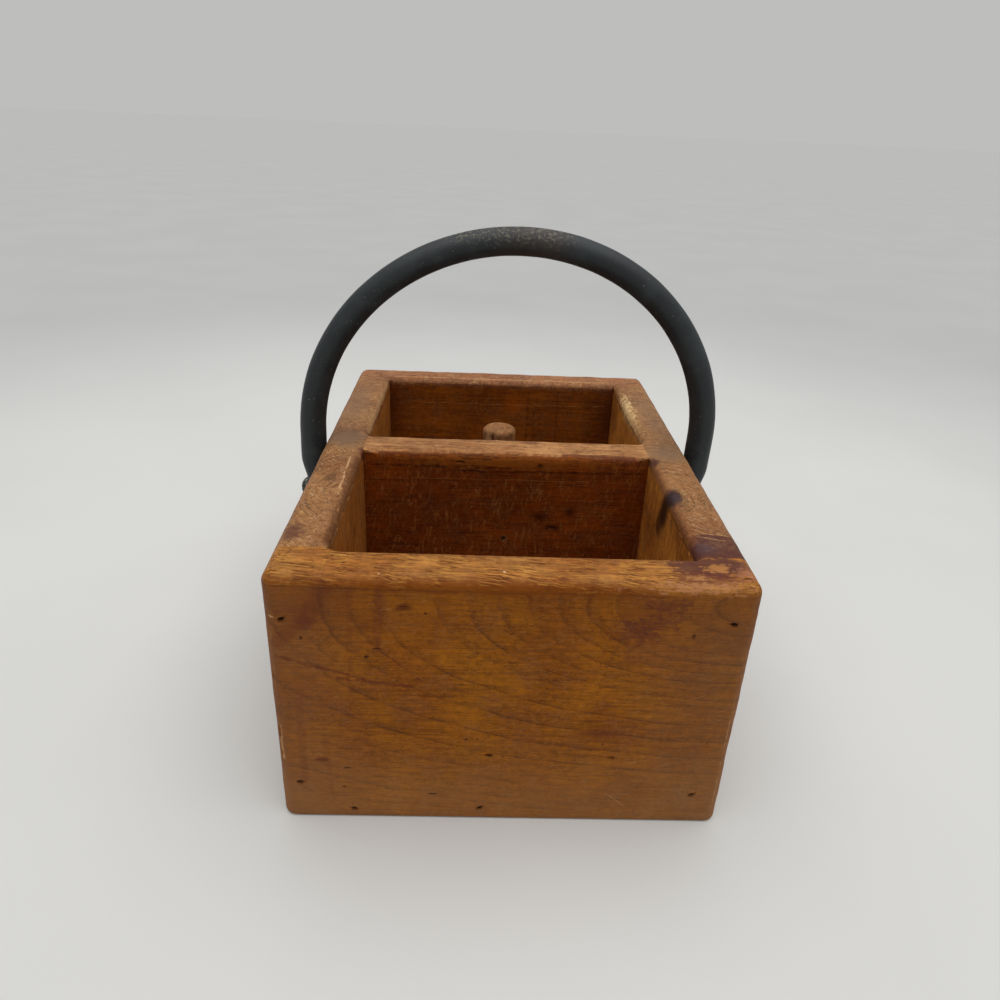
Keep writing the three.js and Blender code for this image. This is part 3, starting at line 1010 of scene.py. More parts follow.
@dataclass(frozen=True)
class BarPaintFinish:
    """Matt black paint on a round bar, rubbed to grey-brown metal along the top of the grip.

    Attributes:
        name: the material's name.
        paint: the colour of sound paint.
        faded: the colour of faded paint.
        metal: the colour of bare metal.
        rust: the colour of rust.
        grip: where the rubbed part starts and ends across the box.
        rusty: where the rusty part starts and ends.
        fade: how gradually each of them starts and ends.
        grip_height: the heights between which the rubbing sets in.
        rust_height: the heights between which the rust sets in.
    """

    name: str = "bar_black"
    paint: Colour = shade(37, 41, 43)
    faded: Colour = shade(60, 65, 67)
    metal: Colour = shade(132, 124, 106)
    rust: Colour = shade(66, 50, 42)
    grip: tuple[float, float] = (-46.0, 18.0)
    rusty: tuple[float, float] = (-16.0, 14.0)
    fade: tuple[float, float] = (24.0, 14.0)
    grip_height: tuple[float, float] = (195.0, 202.0)
    rust_height: tuple[float, float] = (188.0, 194.0)

    def reach(self, wiring: Wiring, across: Socket, ends: tuple[float, float]) -> Socket:
        """Gives a mask that is 1 between two places along the grip and fades out at them."""
        start = wiring.between(across, ends[0], ends[0] + self.fade[0])
        return wiring.times(start, wiring.between(across, ends[1] + self.fade[1], ends[1]))

    def material(self) -> bpy.types.Material:
        """Builds the material.

        Returns:
            The material.
        """
        wiring = Wiring(self.name)
        cloud = wiring.noise(wiring.place, 13, 4, 0.6)
        grit = wiring.noise(wiring.place, 0.9, 3, 0.6)
        body = wiring.blend(wiring.between(cloud, 0.4, 0.72, 0.0, 0.6), self.paint, self.faded)
        across = wiring.part(wiring.place, Axis.ACROSS)
        height = wiring.part(wiring.place, Axis.UP)
        low = wiring.between(height, *self.rust_height, 0.0, 0.4)
        low = wiring.times(low, self.reach(wiring, across, self.rusty))
        body = wiring.blend(low, body, self.rust)
        crest = wiring.between(height, *self.grip_height)
        crest = wiring.times(crest, self.reach(wiring, across, self.grip))
        flecks = wiring.between(wiring.noise(wiring.place, 1.5, 4, 0.7), 0.5, 0.62)
        rubbed = wiring.times(flecks, crest)
        body = wiring.blend(wiring.times(rubbed, 0.62), body, self.metal)
        specks = wiring.between(wiring.noise(wiring.place, 1.2, 1, 0.4), 0.74, 0.78, 0.0, 0.5)
        body = wiring.blend(specks, body, self.metal)
        wiring.dress(body, wiring.between(cloud, 0.3, 0.7, 0.46, 0.6), 0.32)
        wiring.bump(wiring.sum_of((grit, 1.0), (rubbed, -0.8)), 0.1, 0.6)
        return wiring.material


@dataclass(frozen=True)
class TarnishedSteelFinish:
    """Dark tarnished steel, scratched brighter in places and a little rusty.

    Attributes:
        name: the material's name.
        dark: the colour of tarnished steel.
        bright: the colour where it is scratched.
        rust: the colour of rust.
    """

    name: str = "screw_steel"
    dark: Colour = shade(58, 62, 56)
    bright: Colour = shade(128, 126, 116)
    rust: Colour = shade(84, 52, 34)

    def material(self) -> bpy.types.Material:
        """Builds the material.

        Returns:
            The material.
        """
        wiring = Wiring(self.name)
        cloud = wiring.noise(wiring.place, 2.6, 4, 0.6)
        body = wiring.blend(wiring.between(cloud, 0.45, 0.7), self.dark, self.bright)
        rusty = wiring.between(wiring.noise(wiring.place, 1.6, 4, 0.7), 0.52, 0.66, 0.0, 0.8)
        body = wiring.blend(rusty, body, self.rust)
        rough = wiring.between(cloud, 0.3, 0.7, 0.58, 0.38)
        wiring.dress(body, rough, 0.5, wiring.number("SUBTRACT", 0.9, rusty))
        wiring.bump(wiring.noise(wiring.place, 0.5, 3, 0.6), 0.05, 0.6)
        return wiring.material


@dataclass(frozen=True)
class RustyIronFinish:
    """Dark nail iron with rust.

    Attributes:
        name: the material's name.
        iron: the colour of the iron.
        rust: the colour of rust.
    """

    name: str = "nail_iron"
    iron: Colour = shade(40, 32, 28)
    rust: Colour = shade(78, 42, 24)

    def material(self) -> bpy.types.Material:
        """Builds the material.

        Returns:
            The material.
        """
        wiring = Wiring(self.name)
        cloud = wiring.noise(wiring.place, 1.1, 4, 0.65)
        body = wiring.blend(wiring.between(cloud, 0.42, 0.62), self.iron, self.rust)
        metallic = wiring.between(cloud, 0.42, 0.62, 0.6, 0.05)
        wiring.dress(body, wiring.between(cloud, 0.35, 0.65, 0.6, 0.85), 0.3, metallic)
        wiring.bump(cloud, 0.08, 0.8)
        return wiring.material


@dataclass(frozen=True)
class Mouth:
    """The rounded-over mouth of one compartment.

    Attributes:
        front: the compartment's front wall.
        back: its back wall.
        corners: the plan radii at the front left, front right, back left and back right corners.
        radius: the radius of the rounding-over.
    """

    front: float
    back: float
    corners: tuple[float, float, float, float]
    radius: float = 4.0

    def cutter(self, half_width: float, height: float) -> Piece:
        """Builds the shape that is cut away.

        Args:
            half_width: half the compartment's width, in millimetres.
            height: the height of the rim, in millimetres.

        Returns:
            The cutter.
        """
        reach = half_width + self.radius
        low = metres((-reach, self.front - self.radius, height - self.radius))
        high = metres((reach, self.back + self.radius, height + self.radius))
        cutter = Bench.block("mouth", low, high)
        places = ((low.x, low.y), (high.x, low.y), (low.x, high.y), (high.x, high.y))
        for (x, y), corner in zip(places, self.corners):

            def here(start: Vector, end: Vector, spot: Vector = Vector((x, y))) -> bool:
                """Says whether an edge stands at this corner."""
                return max((start.xy - spot).length, (end.xy - spot).length) < NEAR

            Bench.round_edges(cutter, here, corner * MM, steps=8)

        def underneath(start: Vector, end: Vector) -> bool:
            """Says whether an edge lies on the cutter's underside."""
            return max(start.z, end.z) < low.z + NEAR

        hollow_quarter = 0.0858
        Bench.round_edges(cutter, underneath, self.radius * MM, steps=8, profile=hollow_quarter)
        return cutter


@dataclass(frozen=True)
class NailHoles:
    """The holes that nails made, with torn mouths, read from where the nails are.

    Attributes:
        clearance: the play round a nail's shank.
        set_in: how deep the nails' heads lie.
        mouth: half sizes of a hole's torn mouth.
        tail: half sizes of the split beside it.
        tail_gap: how far beside the hole that split is.
        most_lean: the most by which a mouth and its split are turned, in radians.
    """

    clearance: float = 0.25
    set_in: float = 1.3
    mouth: Point = (1.4, 0.85, 1.7)
    tail: Point = (1.5, 0.42, 0.45)
    tail_gap: float = 1.3
    most_lean: float = 0.7

    @staticmethod
    def head(node: str) -> tuple[Vector, Vector]:
        """Finds the middle of a nail's head and the way that it faces.

        Args:
            node: the nail's name.

        Returns:
            The place and the direction.
        """
        low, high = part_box(node)
        size = high - low
        axis = max(range(3), key=lambda index: size[index])
        place = (low + high) / 2
        out = Vector((0, 0, 0))
        out[axis] = math.copysign(1, place[axis])
        place += out * size[axis] / 2
        return place, out

    def cutter(self, node: str) -> Piece:
        """Builds the shape that one nail's hole takes out.

        Args:
            node: the nail's name.

        Returns:
            The cutter.
        """
        low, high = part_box(node)
        head, out = self.head(node)
        radius = min(high - low) / 2 + self.clearance * MM
        face = head + out * self.set_in * MM
        above = head + out * self.clearance * MM
        hole = Bench.rod("hole", head - out * (max(high - low) + MM), above, radius, sides=12)
        varied = 9 * head.x / MM + 7 * head.z / MM
        lean = self.most_lean * math.sin(varied)
        level = Vector((0, 0, 1)).cross(out)
        along = level * math.cos(lean) + Vector((0, 0, 1)) * math.sin(lean)
        turned = Matrix((along, out.cross(along), out)).transposed().to_euler()
        Bench.carve(hole, Bench.pebble(face, Vector(self.mouth) * MM, turned), "UNION")
        beside = face + along * MM * math.copysign(self.tail_gap, lean)
        Bench.carve(hole, Bench.pebble(beside, Vector(self.tail) * MM, turned), "UNION")
        return hole


@dataclass(frozen=True)
class Chip:
    """A chip or dent in a board.

    Attributes:
        place: its middle.
        reach: its half sizes.
        lean: how it is turned about Z, in radians.
    """

    place: Point
    reach: Point
    lean: float = 0.0


CHIPS = {
    "front_board": (
        Chip((-6.4, -117.5, 32.8), (1.8, 0.9, 0.6)),
        Chip((39.4, -117.5, 32.4), (1.4, 1, 0.8)),
        Chip((-45.9, -117.5, 79.9), (1.7, 0.35, 0.5)),
        Chip((-49.8, -117.5, 76.4), (0.9, 0.4, 0.6)),
        Chip((-71.4, -117.5, 83.8), (0.5, 0.4, 0.8)),
        Chip((-36.8, -117.5, 97.3), (2.2, 0.35, 0.6)),
        Chip((-82.9, -116.4, 41), (1, 1, 4)),
        Chip((-82.7, -116.6, 31), (0.9, 0.9, 2.2)),
        Chip((-83, -116.3, 66), (0.8, 0.8, 1.8)),
        Chip((82.8, -116.6, 44), (0.8, 0.8, 3)),
        Chip((70, -116.4, 107.6), (3.4, 0.8, 0.8)),
        Chip((61, -115.8, 108), (1.8, 0.8, 0.6)),
        Chip((78.5, -113, 108.3), (1.8, 1.3, 0.5), 0.4),
        Chip((-1.3, -101.2, 108.3), (1.1, 0.6, 0.5), 0.2),
    ),
    "left_board": (
        Chip((-65, -51, 104.4), (0.6, 3.2, 0.7)),
        Chip((-65.1, -64, 104), (0.6, 2.4, 0.8)),
        Chip((-65, -77, 104.3), (0.7, 1.8, 0.6)),
        Chip((-69.2, -43, 108.6), (0.5, 4, 0.4), 0.03),
        Chip((-65.3, 60, 104.4), (0.7, 3, 0.7)),
    ),
    "right_board": (
        Chip((64.9, -74, 104.4), (0.7, 2.8, 0.8)),
        Chip((64.9, -88, 104.1), (0.6, 2, 0.7)),
        Chip((66.2, 56, 105.6), (1, 5, 0.7), 0.05),
    ),
    "divider_board": (
        Chip((-21.2, -9.3, 103.7), (2.4, 0.8, 0.9)),
        Chip((0.2, -9.5, 64.4), (0.9, 0.9, 0.9)),
        Chip((22.5, -9.5, 71.1), (2, 0.4, 1.2)),
        Chip((-40, -6, 107.9), (4, 0.7, 0.5), 0.05),
        Chip((30, -6.4, 107.7), (4, 0.8, 0.5), -0.04),
    ),
    "back_board": (
        Chip((-20, 101.6, 106.6), (5, 0.8, 0.6), 0.03),
        Chip((34, 101.8, 106.8), (3.5, 0.8, 0.6), -0.04),
    ),
}


@dataclass
class BoxBoards:
    """The six boards of the box, each a separate piece.

    Attributes:
        corner_radius: the rounding of the outer edges.
        corner_profile: how full that rounding is, where 0.5 is a quarter circle.
        foot_radius: the rounding of the bottom edges.
        close_up: how much nearer the boards come to each other than the frame's play.
        grid: the distance between the cuts that let a board's surface wear unevenly.
        wear_depth: how uneven the worn surfaces are.
        hollow: the size of the worn hollows.
        joint_ease: how far from a joint the wear reaches its full depth.
        rim_reach: how far below the rim the wear is stronger.
        arris: the width of the faces that take the sharpness off.
    """

    corner_radius: float = 4.5
    corner_profile: float = 0.46
    foot_radius: float = 1.5
    close_up: float = 0.24
    grid: float = 2.6
    wear_depth: float = 0.65
    hollow: float = 11.0
    joint_ease: float = 8.0
    rim_reach: float = 7.0
    arris: float = 0.14

    def __post_init__(self) -> None:
        """Reads the box's main sizes, in metres, from the frame."""
        self.low, front_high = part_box("front_board")
        back_low, self.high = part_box("back_board")
        self.inside_back = back_low.y
        self.inside_half = -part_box("left_board")[1].x
        divider_low, divider_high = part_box("divider_board")
        self.mouths = (
            Mouth(front_high.y / MM, divider_low.y / MM, (10.0, 5.4, 12.0, 12.0)),
            Mouth(divider_high.y / MM, back_low.y / MM, (7.0, 7.0, 7.0, 7.0)),
        )

    def blank(self, node: str) -> Piece:
        """Adds the plain board that stands for a node, a little closer to its neighbours.

        Args:
            node: the node's name.

        Returns:
            The board as a plain block.
        """
        ends = {"left_board": (1,), "right_board": (1,), "divider_board": (0,), "bottom_board": (0, 1)}
        low, high = (corner.copy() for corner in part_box(node))
        for axis in ends.get(node, ()):
            low[axis] -= self.close_up * MM
            high[axis] += self.close_up * MM
        if node == "divider_board":
            low.z -= self.close_up * MM
        return Bench.block(f"{node}_piece", low, high)

    def round_outside(self, board: Piece) -> None:
        """Rounds the edges of a board that lie on the outside of the box."""
        Bench.round_edges(board, self.on_corner, self.corner_radius * MM, 8, self.corner_profile)
        Bench.round_edges(board, self.on_foot, self.foot_radius * MM, 4)

    def outer_walls(self, point: Vector) -> set[tuple[int, bool]]:
        """Lists the outer walls on which a point lies, each as an axis and whether it is on its plus side."""
        return {(axis, point[axis] > 0) for axis in (0, 1) if abs(point[axis]) > self.high[axis] - NEAR}

    def on_corner(self, start: Vector, end: Vector) -> bool:
        """Says whether an edge is an upright corner of the box or runs round the outside of its rim.

        Args:
            start: one end of the edge.
            end: the other end.

        Returns:
            Whether it is one of them.
        """
        if abs(start.z - end.z) > MM:
            return len(self.outer_walls(start)) == 2
        at_top = min(start.z, end.z) > self.high.z - NEAR
        return at_top and bool(self.outer_walls(start) & self.outer_walls(end))

    def on_foot(self, start: Vector, end: Vector) -> bool:
        """Says whether an edge runs round the outside of the box's foot.

        Args:
            start: one end of the edge.
            end: the other end.

        Returns:
            Whether it does.
        """
        past_corner = 1.05 * self.corner_radius * MM
        across = min(abs(start.x), abs(end.x)) > self.high.x - past_corner
        deep = min(abs(start.y), abs(end.y)) > self.high.y - past_corner
        at_foot = max(start.z, end.z) < self.low.z + NEAR
        return at_foot and (across or deep) and not self.on_joint(start, end)

    def on_joint(self, start: Vector, end: Vector) -> bool:
        """Says whether an edge lies in a plane where boards meet.

        Args:
            start: one end of the edge.
            end: the other end.

        Returns:
            Whether it does.
        """
        near = 0.4 * MM
        flat = all(abs(abs(point.y) - self.inside_back) < near for point in (start, end))
        wall = all(abs(abs(point.x) - self.inside_half) < near for point in (start, end))
        return flat or wall

    def worn(self, point: Vector) -> float:
        """Says how much a place on a board is worn.

        Args:
            point: the place.

        Returns:
            0 on joints and under the foot, little on flat faces and up to 1 along rounded edges.
        """
        corner_share, face_share, inner_share = 0.8, 0.35, 0.15
        foot = min(1.0, max(0.0, point.z / MM))
        gaps = (self.high.x - abs(point.x), self.high.y - abs(point.y), self.high.z - point.z)
        rim = max(0.0, 1 - gaps[2] / (self.rim_reach * MM))
        corner = corner_share if max(gaps[0], gaps[1]) < self.corner_radius * MM else 0.0
        face = face_share if min(gaps) < 2 * NEAR else inner_share
        by_divider = abs(point.y) < 12 * MM
        gap = abs(abs(point.y) - self.inside_back)
        if by_divider:
            gap = abs(abs(point.x) - self.inside_half)
        return foot * min(1.0, max(face, rim, corner)) * min(1.0, gap / (self.joint_ease * MM))

    def board(
        self, node: str, slot: str, nails: Iterable[str], finish: WoodFinish, holes: Iterable[Piece] = ()
    ) -> Piece:
        """Builds and dresses one board.

        Args:
            node: the name of the node that it stands for.
            slot: the record's material slot.
            nails: the names of the nails that pass into it.
            finish: its wood.
            holes: further shapes to cut out of it.

        Returns:
            The finished board.
        """
        board = self.blank(node)
        outside = node != "divider_board"
        if outside:
            self.round_outside(board)
        if node != "bottom_board":
            for mouth in self.mouths:
                Bench.carve(board, mouth.cutter(self.inside_half / MM, self.high.z / MM))
        if outside:
            Bench.break_corners(board, self.arris * MM)
        cutters = [
            Bench.pebble(metres(chip.place), metres(chip.reach), (0, 0, chip.lean))
            for chip in CHIPS.get(node, ())
        ]
        cutters += [NailHoles().cutter(nail) for nail in nails]
        for cutter in (*cutters, *holes):
            Bench.carve(board, cutter)
        low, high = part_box(node)
        shortest_cut = 4 * self.grid * MM
        for axis in Axis:
            start, end = low[axis.value], high[axis.value]
            if end - start > shortest_cut:
                Bench.score(board, axis, start, end, self.grid * MM)
        Bench.wear(board, self.worn, self.wear_depth * MM, self.hollow * MM)
        Bench.finish(board)
        return Bench.hand_in(board, "box", node, slot, finish.material())


@dataclass(frozen=True)
class Peg:
    """The round peg that stands in the rear compartment.

    Attributes:
        rim_radius: the rounding of its top rim.
        crack: half sizes of the drying crack at the rim.
        crack_turn: where on the rim the crack is, in degrees from the right.
        bore_radius: the radius of the hole for its screw.
        grid: the distance between the cuts that let it wear unevenly.
        wear_depth: how uneven it is worn.
        hollow: the size of the worn hollows.
    """

    rim_radius: float = 2.7
    crack: Point = (1.2, 0.3, 15.0)
    crack_turn: float = -114.0
    bore_radius: float = 2.3
    grid: float = 4.0
    wear_depth: float = 0.4
    hollow: float = 9.0

    def build(self, finish: WoodFinish) -> Piece:
        """Builds the peg.

        Args:
            finish: its wood.

        Returns:
            The finished peg.
        """
        low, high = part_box("peg")
        foot = Vector(((low.x + high.x) / 2, (low.y + high.y) / 2, low.z))
        crown = Vector((foot.x, foot.y, high.z))
        radius = (high.x - low.x) / 2
        peg = Bench.rod("peg_piece", foot, crown, radius, sides=64)
        rim = self.rim_radius * MM
        Bench.round_edges(peg, lambda start, end: min(start.z, end.z) > high.z - NEAR, rim, steps=5)
        Bench.score(peg, Axis.UP, low.z, high.z - rim, self.grid * MM)
        share = 0.6
        Bench.wear(
            peg, lambda point: share if point.z > low.z + MM else 0.0, self.wear_depth * MM, self.hollow * MM
        )
        angle = math.radians(self.crack_turn)
        split = crown + Vector((math.cos(angle), math.sin(angle), 0)) * radius
        Bench.carve(peg, Bench.pebble(split, metres(self.crack), (0.0, 0.0, angle)))
        end = Vector((foot.x, foot.y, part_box("peg_screw")[1].z + MM))
        Bench.carve(peg, Bench.rod("bore", foot - Vector((0, 0, MM)), end, self.bore_radius * MM))
        Bench.finish(peg)
        return Bench.hand_in(peg, "box", "peg", "peg_wood", finish.material())


@dataclass
class BailHandle:
    """The black bar handle: a round bar bent to a tall half oval, with flattened, drilled ends.

    Attributes:
        bar_diameter: the bar's diameter.
        leg_top: the height at which the straight legs end.
        rack: how far the bar leans to the right for each millimetre of height.
        eye_thickness: the thickness of the flattened ends.
        eye_width: their width.
        eye_rim: the rounding of their rims.
        flat_start: the height above the pivot where the ends are fully flat.
        flat_end: the height above the pivot where the bar is fully round.
        hole_diameter: the diameter of the screw holes.
        sides: how many faces go round the bar.
        rings: how many follow each other along it.
        play: the gap between each flattened end and its washer.
        worn_above: the height above the pivot where the bar starts to be uneven.
        wear_depth: how uneven it is.
        hollow: the size of its hollows.
    """

    bar_diameter: float = 12.0
    leg_top: float = 110.5
    rack: float = 0.026
    eye_thickness: float = 9.0
    eye_width: float = 15.0
    eye_rim: float = 3.6
    flat_start: float = 3.0
    flat_end: float = 17.0
    hole_diameter: float = 5.4
    sides: int = 48
    rings: int = 220
    play: float = 0.3
    worn_above: float = 20.0
    wear_depth: float = 0.22
    hollow: float = 16.0

    def __post_init__(self) -> None:
        """Reads the pivot's place and the bar's outline, in metres, from the frame."""
        joint = next(joint for joint in frame["joints"] if joint["name"] == "handle_swing")
        self.pivot = Vector(joint["pos_m"])
        self.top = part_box("bail_handle")[1].z
        self.eye_inner = self.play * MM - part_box("left_pivot_washer")[0].x
        self.half_width = self.eye_inner + self.bar_diameter * MM / 2

    def guide(self) -> Piece:
        """Draws the bar's centre line as a curve.

        Returns:
            The curve, from the left pivot over the top to the right pivot.
        """
        leg_top = self.leg_top * MM
        rise = self.top - self.bar_diameter * MM / 2 - leg_top
        Bench.clear()
        bpy.ops.curve.primitive_bezier_circle_add(
            radius=1.0, location=(0, self.pivot.y, leg_top), rotation=(math.pi / 2, 0, 0)
        )
        line = bpy.context.object
        line.scale = (self.half_width, rise, 1)
        bpy.ops.object.transform_apply(location=True, rotation=True, scale=True)
        points = line.data.splines[0].bezier_points
        lowest = min(range(len(points)), key=lambda index: points[index].co.z)
        Bench.edit(True)
        bpy.ops.curve.select_all(action="SELECT")
        bpy.ops.curve.handle_type_set(type="ALIGNED")
        bpy.ops.curve.select_all(action="DESELECT")
        line.data.splines[0].bezier_points[lowest].select_control_point = True
        bpy.ops.curve.delete(type="VERT")
        bpy.ops.curve.select_all(action="SELECT")
        bpy.ops.curve.cyclic_toggle()
        self.drop_leg(line, first=True)
        self.drop_leg(line, first=False)
        Bench.edit(False)
        line.data.dimensions = "3D"
        line.data.resolution_u = 64
        line.data.twist_mode = "Z_UP"
        line.data.use_radius = False
        return line

    def drop_leg(self, line: Piece, first: bool) -> None:
        """Draws a straight leg down from one end of the half oval.

        Args:
            line: the curve, in edit mode.
            first: whether this is the curve's first end.
        """
        bpy.ops.curve.select_all(action="DESELECT")
        points = line.data.splines[0].bezier_points
        end = points[0] if first else points[-1]
        end.select_control_point = True
        end.select_left_handle = True
        end.select_right_handle = True
        drop = self.leg_top * MM - self.pivot.z
        bpy.ops.curve.extrude_move(TRANSFORM_OT_translate={"value": (0, 0, -drop)})
        points = line.data.splines[0].bezier_points
        foot, knee = (points[0], points[1]) if first else (points[-1], points[-2])
        foot.handle_left_type = "VECTOR"
        foot.handle_right_type = "VECTOR"
        if first:
            knee.handle_left_type = "VECTOR"
        else:
            knee.handle_right_type = "VECTOR"

    def bar(self) -> Piece:
        """Bends a round bar along the centre line.

        Returns:
            The bar, with flat ends at the pivots.
        """
        line = self.guide()
        length = sum(spline.calc_length() for spline in line.data.splines)
        step = length / self.rings
        Bench.clear()
        bpy.ops.mesh.primitive_cylinder_add(
            vertices=self.sides,
            radius=self.bar_diameter * MM / 2,
            depth=step,
            end_fill_type="NOTHING",
            location=(step / 2, 0, 0),
            rotation=(0, math.pi / 2, 0),
        )
        bar = Bench.settle("bail_handle_piece")
        repeat = bar.modifiers.new("repeat", "ARRAY")
        repeat.count = self.rings
        repeat.use_relative_offset = False
        repeat.use_constant_offset = True
        repeat.constant_offset_displace = (step, 0, 0)
        repeat.use_merge_vertices = True
        repeat.merge_threshold = step / 100
        bpy.ops.object.modifier_apply(modifier=repeat.name)
        follow = bar.modifiers.new("follow", "CURVE")
        follow.object = line
        follow.deform_axis = "POS_X"
        Bench.only(bar)
        bpy.ops.object.modifier_apply(modifier=follow.name)
        bpy.data.curves.remove(line.data)
        return bar

    def lean(self, bar: Piece) -> None:
        """Leans the bar to the right and presses its ends flat, ring by ring.

        Args:
            bar: the bent bar.
        """
        for corner in bar.data.vertices:
            up = (corner.co.z - self.pivot.z) / MM
            corner.co.x += self.rack * up * MM
            share = min(1.0, max(0.0, (up - self.flat_start) / (self.flat_end - self.flat_start)))
            pressed = 1 - share * share * (3 - 2 * share)
            thin = 1 + (self.eye_thickness / self.bar_diameter - 1) * pressed
            wide = 1 + (self.eye_width / self.bar_diameter - 1) * pressed
            side = math.copysign(1, corner.co.x)
            corner.co.x = side * (self.eye_inner + (abs(corner.co.x) - self.eye_inner) * thin)
            corner.co.y = self.pivot.y + (corner.co.y - self.pivot.y) * wide

    def eye(self, side: Side) -> Piece:
        """Builds the rounded end round one screw hole, a thick disc with a full rim.

        Args:
            side: left or right.

        Returns:
            The disc.
        """
        inner = Vector((side.value * self.eye_inner, self.pivot.y, self.pivot.z))
        outer = inner + Vector((side.value * self.eye_thickness * MM, 0, 0))
        disc = Bench.rod("eye", inner, outer, self.eye_width * MM / 2, self.sides)
        Bench.round_edges(disc, lambda start, end: abs(start.x - end.x) < NEAR, self.eye_rim * MM, steps=6)
        return disc

    def build(self, finish: BarPaintFinish) -> Piece:
        """Builds the handle.

        Args:
            finish: its paint.

        Returns:
            The finished handle.
        """
        bar = self.bar()
        self.lean(bar)
        Bench.only(bar)
        Bench.edit(True)
        bpy.ops.mesh.select_mode(type="EDGE")
        bpy.ops.mesh.select_all(action="DESELECT")
        bpy.ops.mesh.select_non_manifold()
        bpy.ops.mesh.fill()
        Bench.edit(False)
        limit = self.pivot.z + self.worn_above * MM
        Bench.wear(
            bar, lambda point: 1.0 if point.z > limit else 0.0, self.wear_depth * MM, self.hollow * MM
        )
        for side in Side:
            Bench.carve(bar, self.eye(side), "UNION")
        reach = Vector((2 * self.half_width, 0, 0))
        radius = self.hole_diameter * MM / 2
        Bench.carve(bar, Bench.rod("hole", self.pivot - reach, self.pivot + reach, radius, sides=32))
        Bench.finish(bar, angle=40)
        return Bench.hand_in(bar, "handle", "bail_handle", "bar_black", finish.material())


@dataclass(frozen=True)
class PivotHardware:
    """The round-head screw and the washer on each side.

    Attributes:
        head_diameter: the screw head's diameter.
        head_height: its height.
        slot_width: the width of its slot.
        slot_depth: the depth of its slot.
        shank_diameter: the screw's diameter.
        hole_diameter: the washer's hole.
        head_arris: the width of the faces that take the sharpness off the head.
        washer_arris: the same on the washer.
    """

    head_diameter: float = 9.6
    head_height: float = 3.4
    slot_width: float = 1.2
    slot_depth: float = 1.3
    shank_diameter: float = 4.8
    hole_diameter: float = 5.4
    head_arris: float = 0.12
    washer_arris: float = 0.2

    def dome(self, name: str, seat: Vector, side: Side) -> Piece:
        """Builds a screw's domed, slotted head.

        Args:
            name: the piece's name.
            seat: the middle of the head's underside.
            side: left or right.

        Returns:
            The head.
        """
        Bench.clear()
        bpy.ops.mesh.primitive_uv_sphere_add(
            segments=48, ring_count=24, radius=1.0, location=seat, rotation=(0, math.pi / 2, 0)
        )
        radius = self.head_diameter * MM / 2
        bpy.context.object.scale = (radius, radius, self.head_height * MM)
        dome = Bench.settle(name)
        Bench.edit(True)
        bpy.ops.mesh.select_all(action="SELECT")
        bpy.ops.mesh.bisect(
            plane_co=seat, plane_no=(side.value, 0, 0), clear_inner=True, use_fill=True, threshold=1e-7
        )
        Bench.edit(False)
        half = Vector((self.head_height * MM, 2 * radius, self.slot_width * MM / 2))
        up = (2 * self.head_height - self.slot_depth) * MM
        middle = seat + Vector((side.value * up, 0, 0))
        Bench.carve(dome, Bench.block("slot", middle - half, middle + half))
        Bench.break_corners(dome, self.head_arris * MM)
        return dome

    def screw(self, side: Side, steel: bpy.types.Material) -> Piece:
        """Builds one pivot screw: a domed, slotted head on a pointed shank.

        Args:
            side: left or right.
            steel: its material.

        Returns:
            The screw.
        """
        node = f"{side.name.lower()}_pivot_screw"
        low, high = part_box(node)
        seat = (low + high) / 2
        tip = seat.copy()
        tip.x, crown = (low.x, high.x) if side is Side.RIGHT else (high.x, low.x)
        seat.x = crown - side.value * self.head_height * MM
        screw = self.dome(f"{node}_piece", seat, side)
        radius = self.shank_diameter * MM / 2
        shank = Bench.rod("shank", seat + Vector((side.value * MM / 2, 0, 0)), tip, radius)

        def at_tip(start: Vector, end: Vector) -> bool:
            """Says whether an edge goes round the shank's tip."""
            return max(abs(start.x - tip.x), abs(end.x - tip.x)) < NEAR

        Bench.round_edges(shank, at_tip, radius * 0.7, steps=2, profile=0.25)
        Bench.carve(screw, shank, "UNION")
        Bench.finish(screw)
        return Bench.hand_in(screw, "box", node, "screw_steel", steel)

    def washer(self, side: Side, steel: bpy.types.Material) -> Piece:
        """Builds one washer, with its rims slightly rounded.

        Args:
            side: left or right.
            steel: its material.

        Returns:
            The washer.
        """
        node = f"{side.name.lower()}_pivot_washer"
        low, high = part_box(node)
        start = (low + high) / 2
        end = start.copy()
        start.x = low.x
        end.x = high.x
        washer = Bench.rod(f"{node}_piece", start, end, (high.z - low.z) / 2, sides=48)
        past = Vector((5 * MM, 0, 0))
        radius = self.hole_diameter * MM / 2
        Bench.carve(washer, Bench.rod("hole", start - past, end + past, radius, sides=32))
        Bench.break_corners(washer, self.washer_arris * MM)
        Bench.finish(washer)
        return Bench.hand_in(washer, "box", node, "screw_steel", steel)


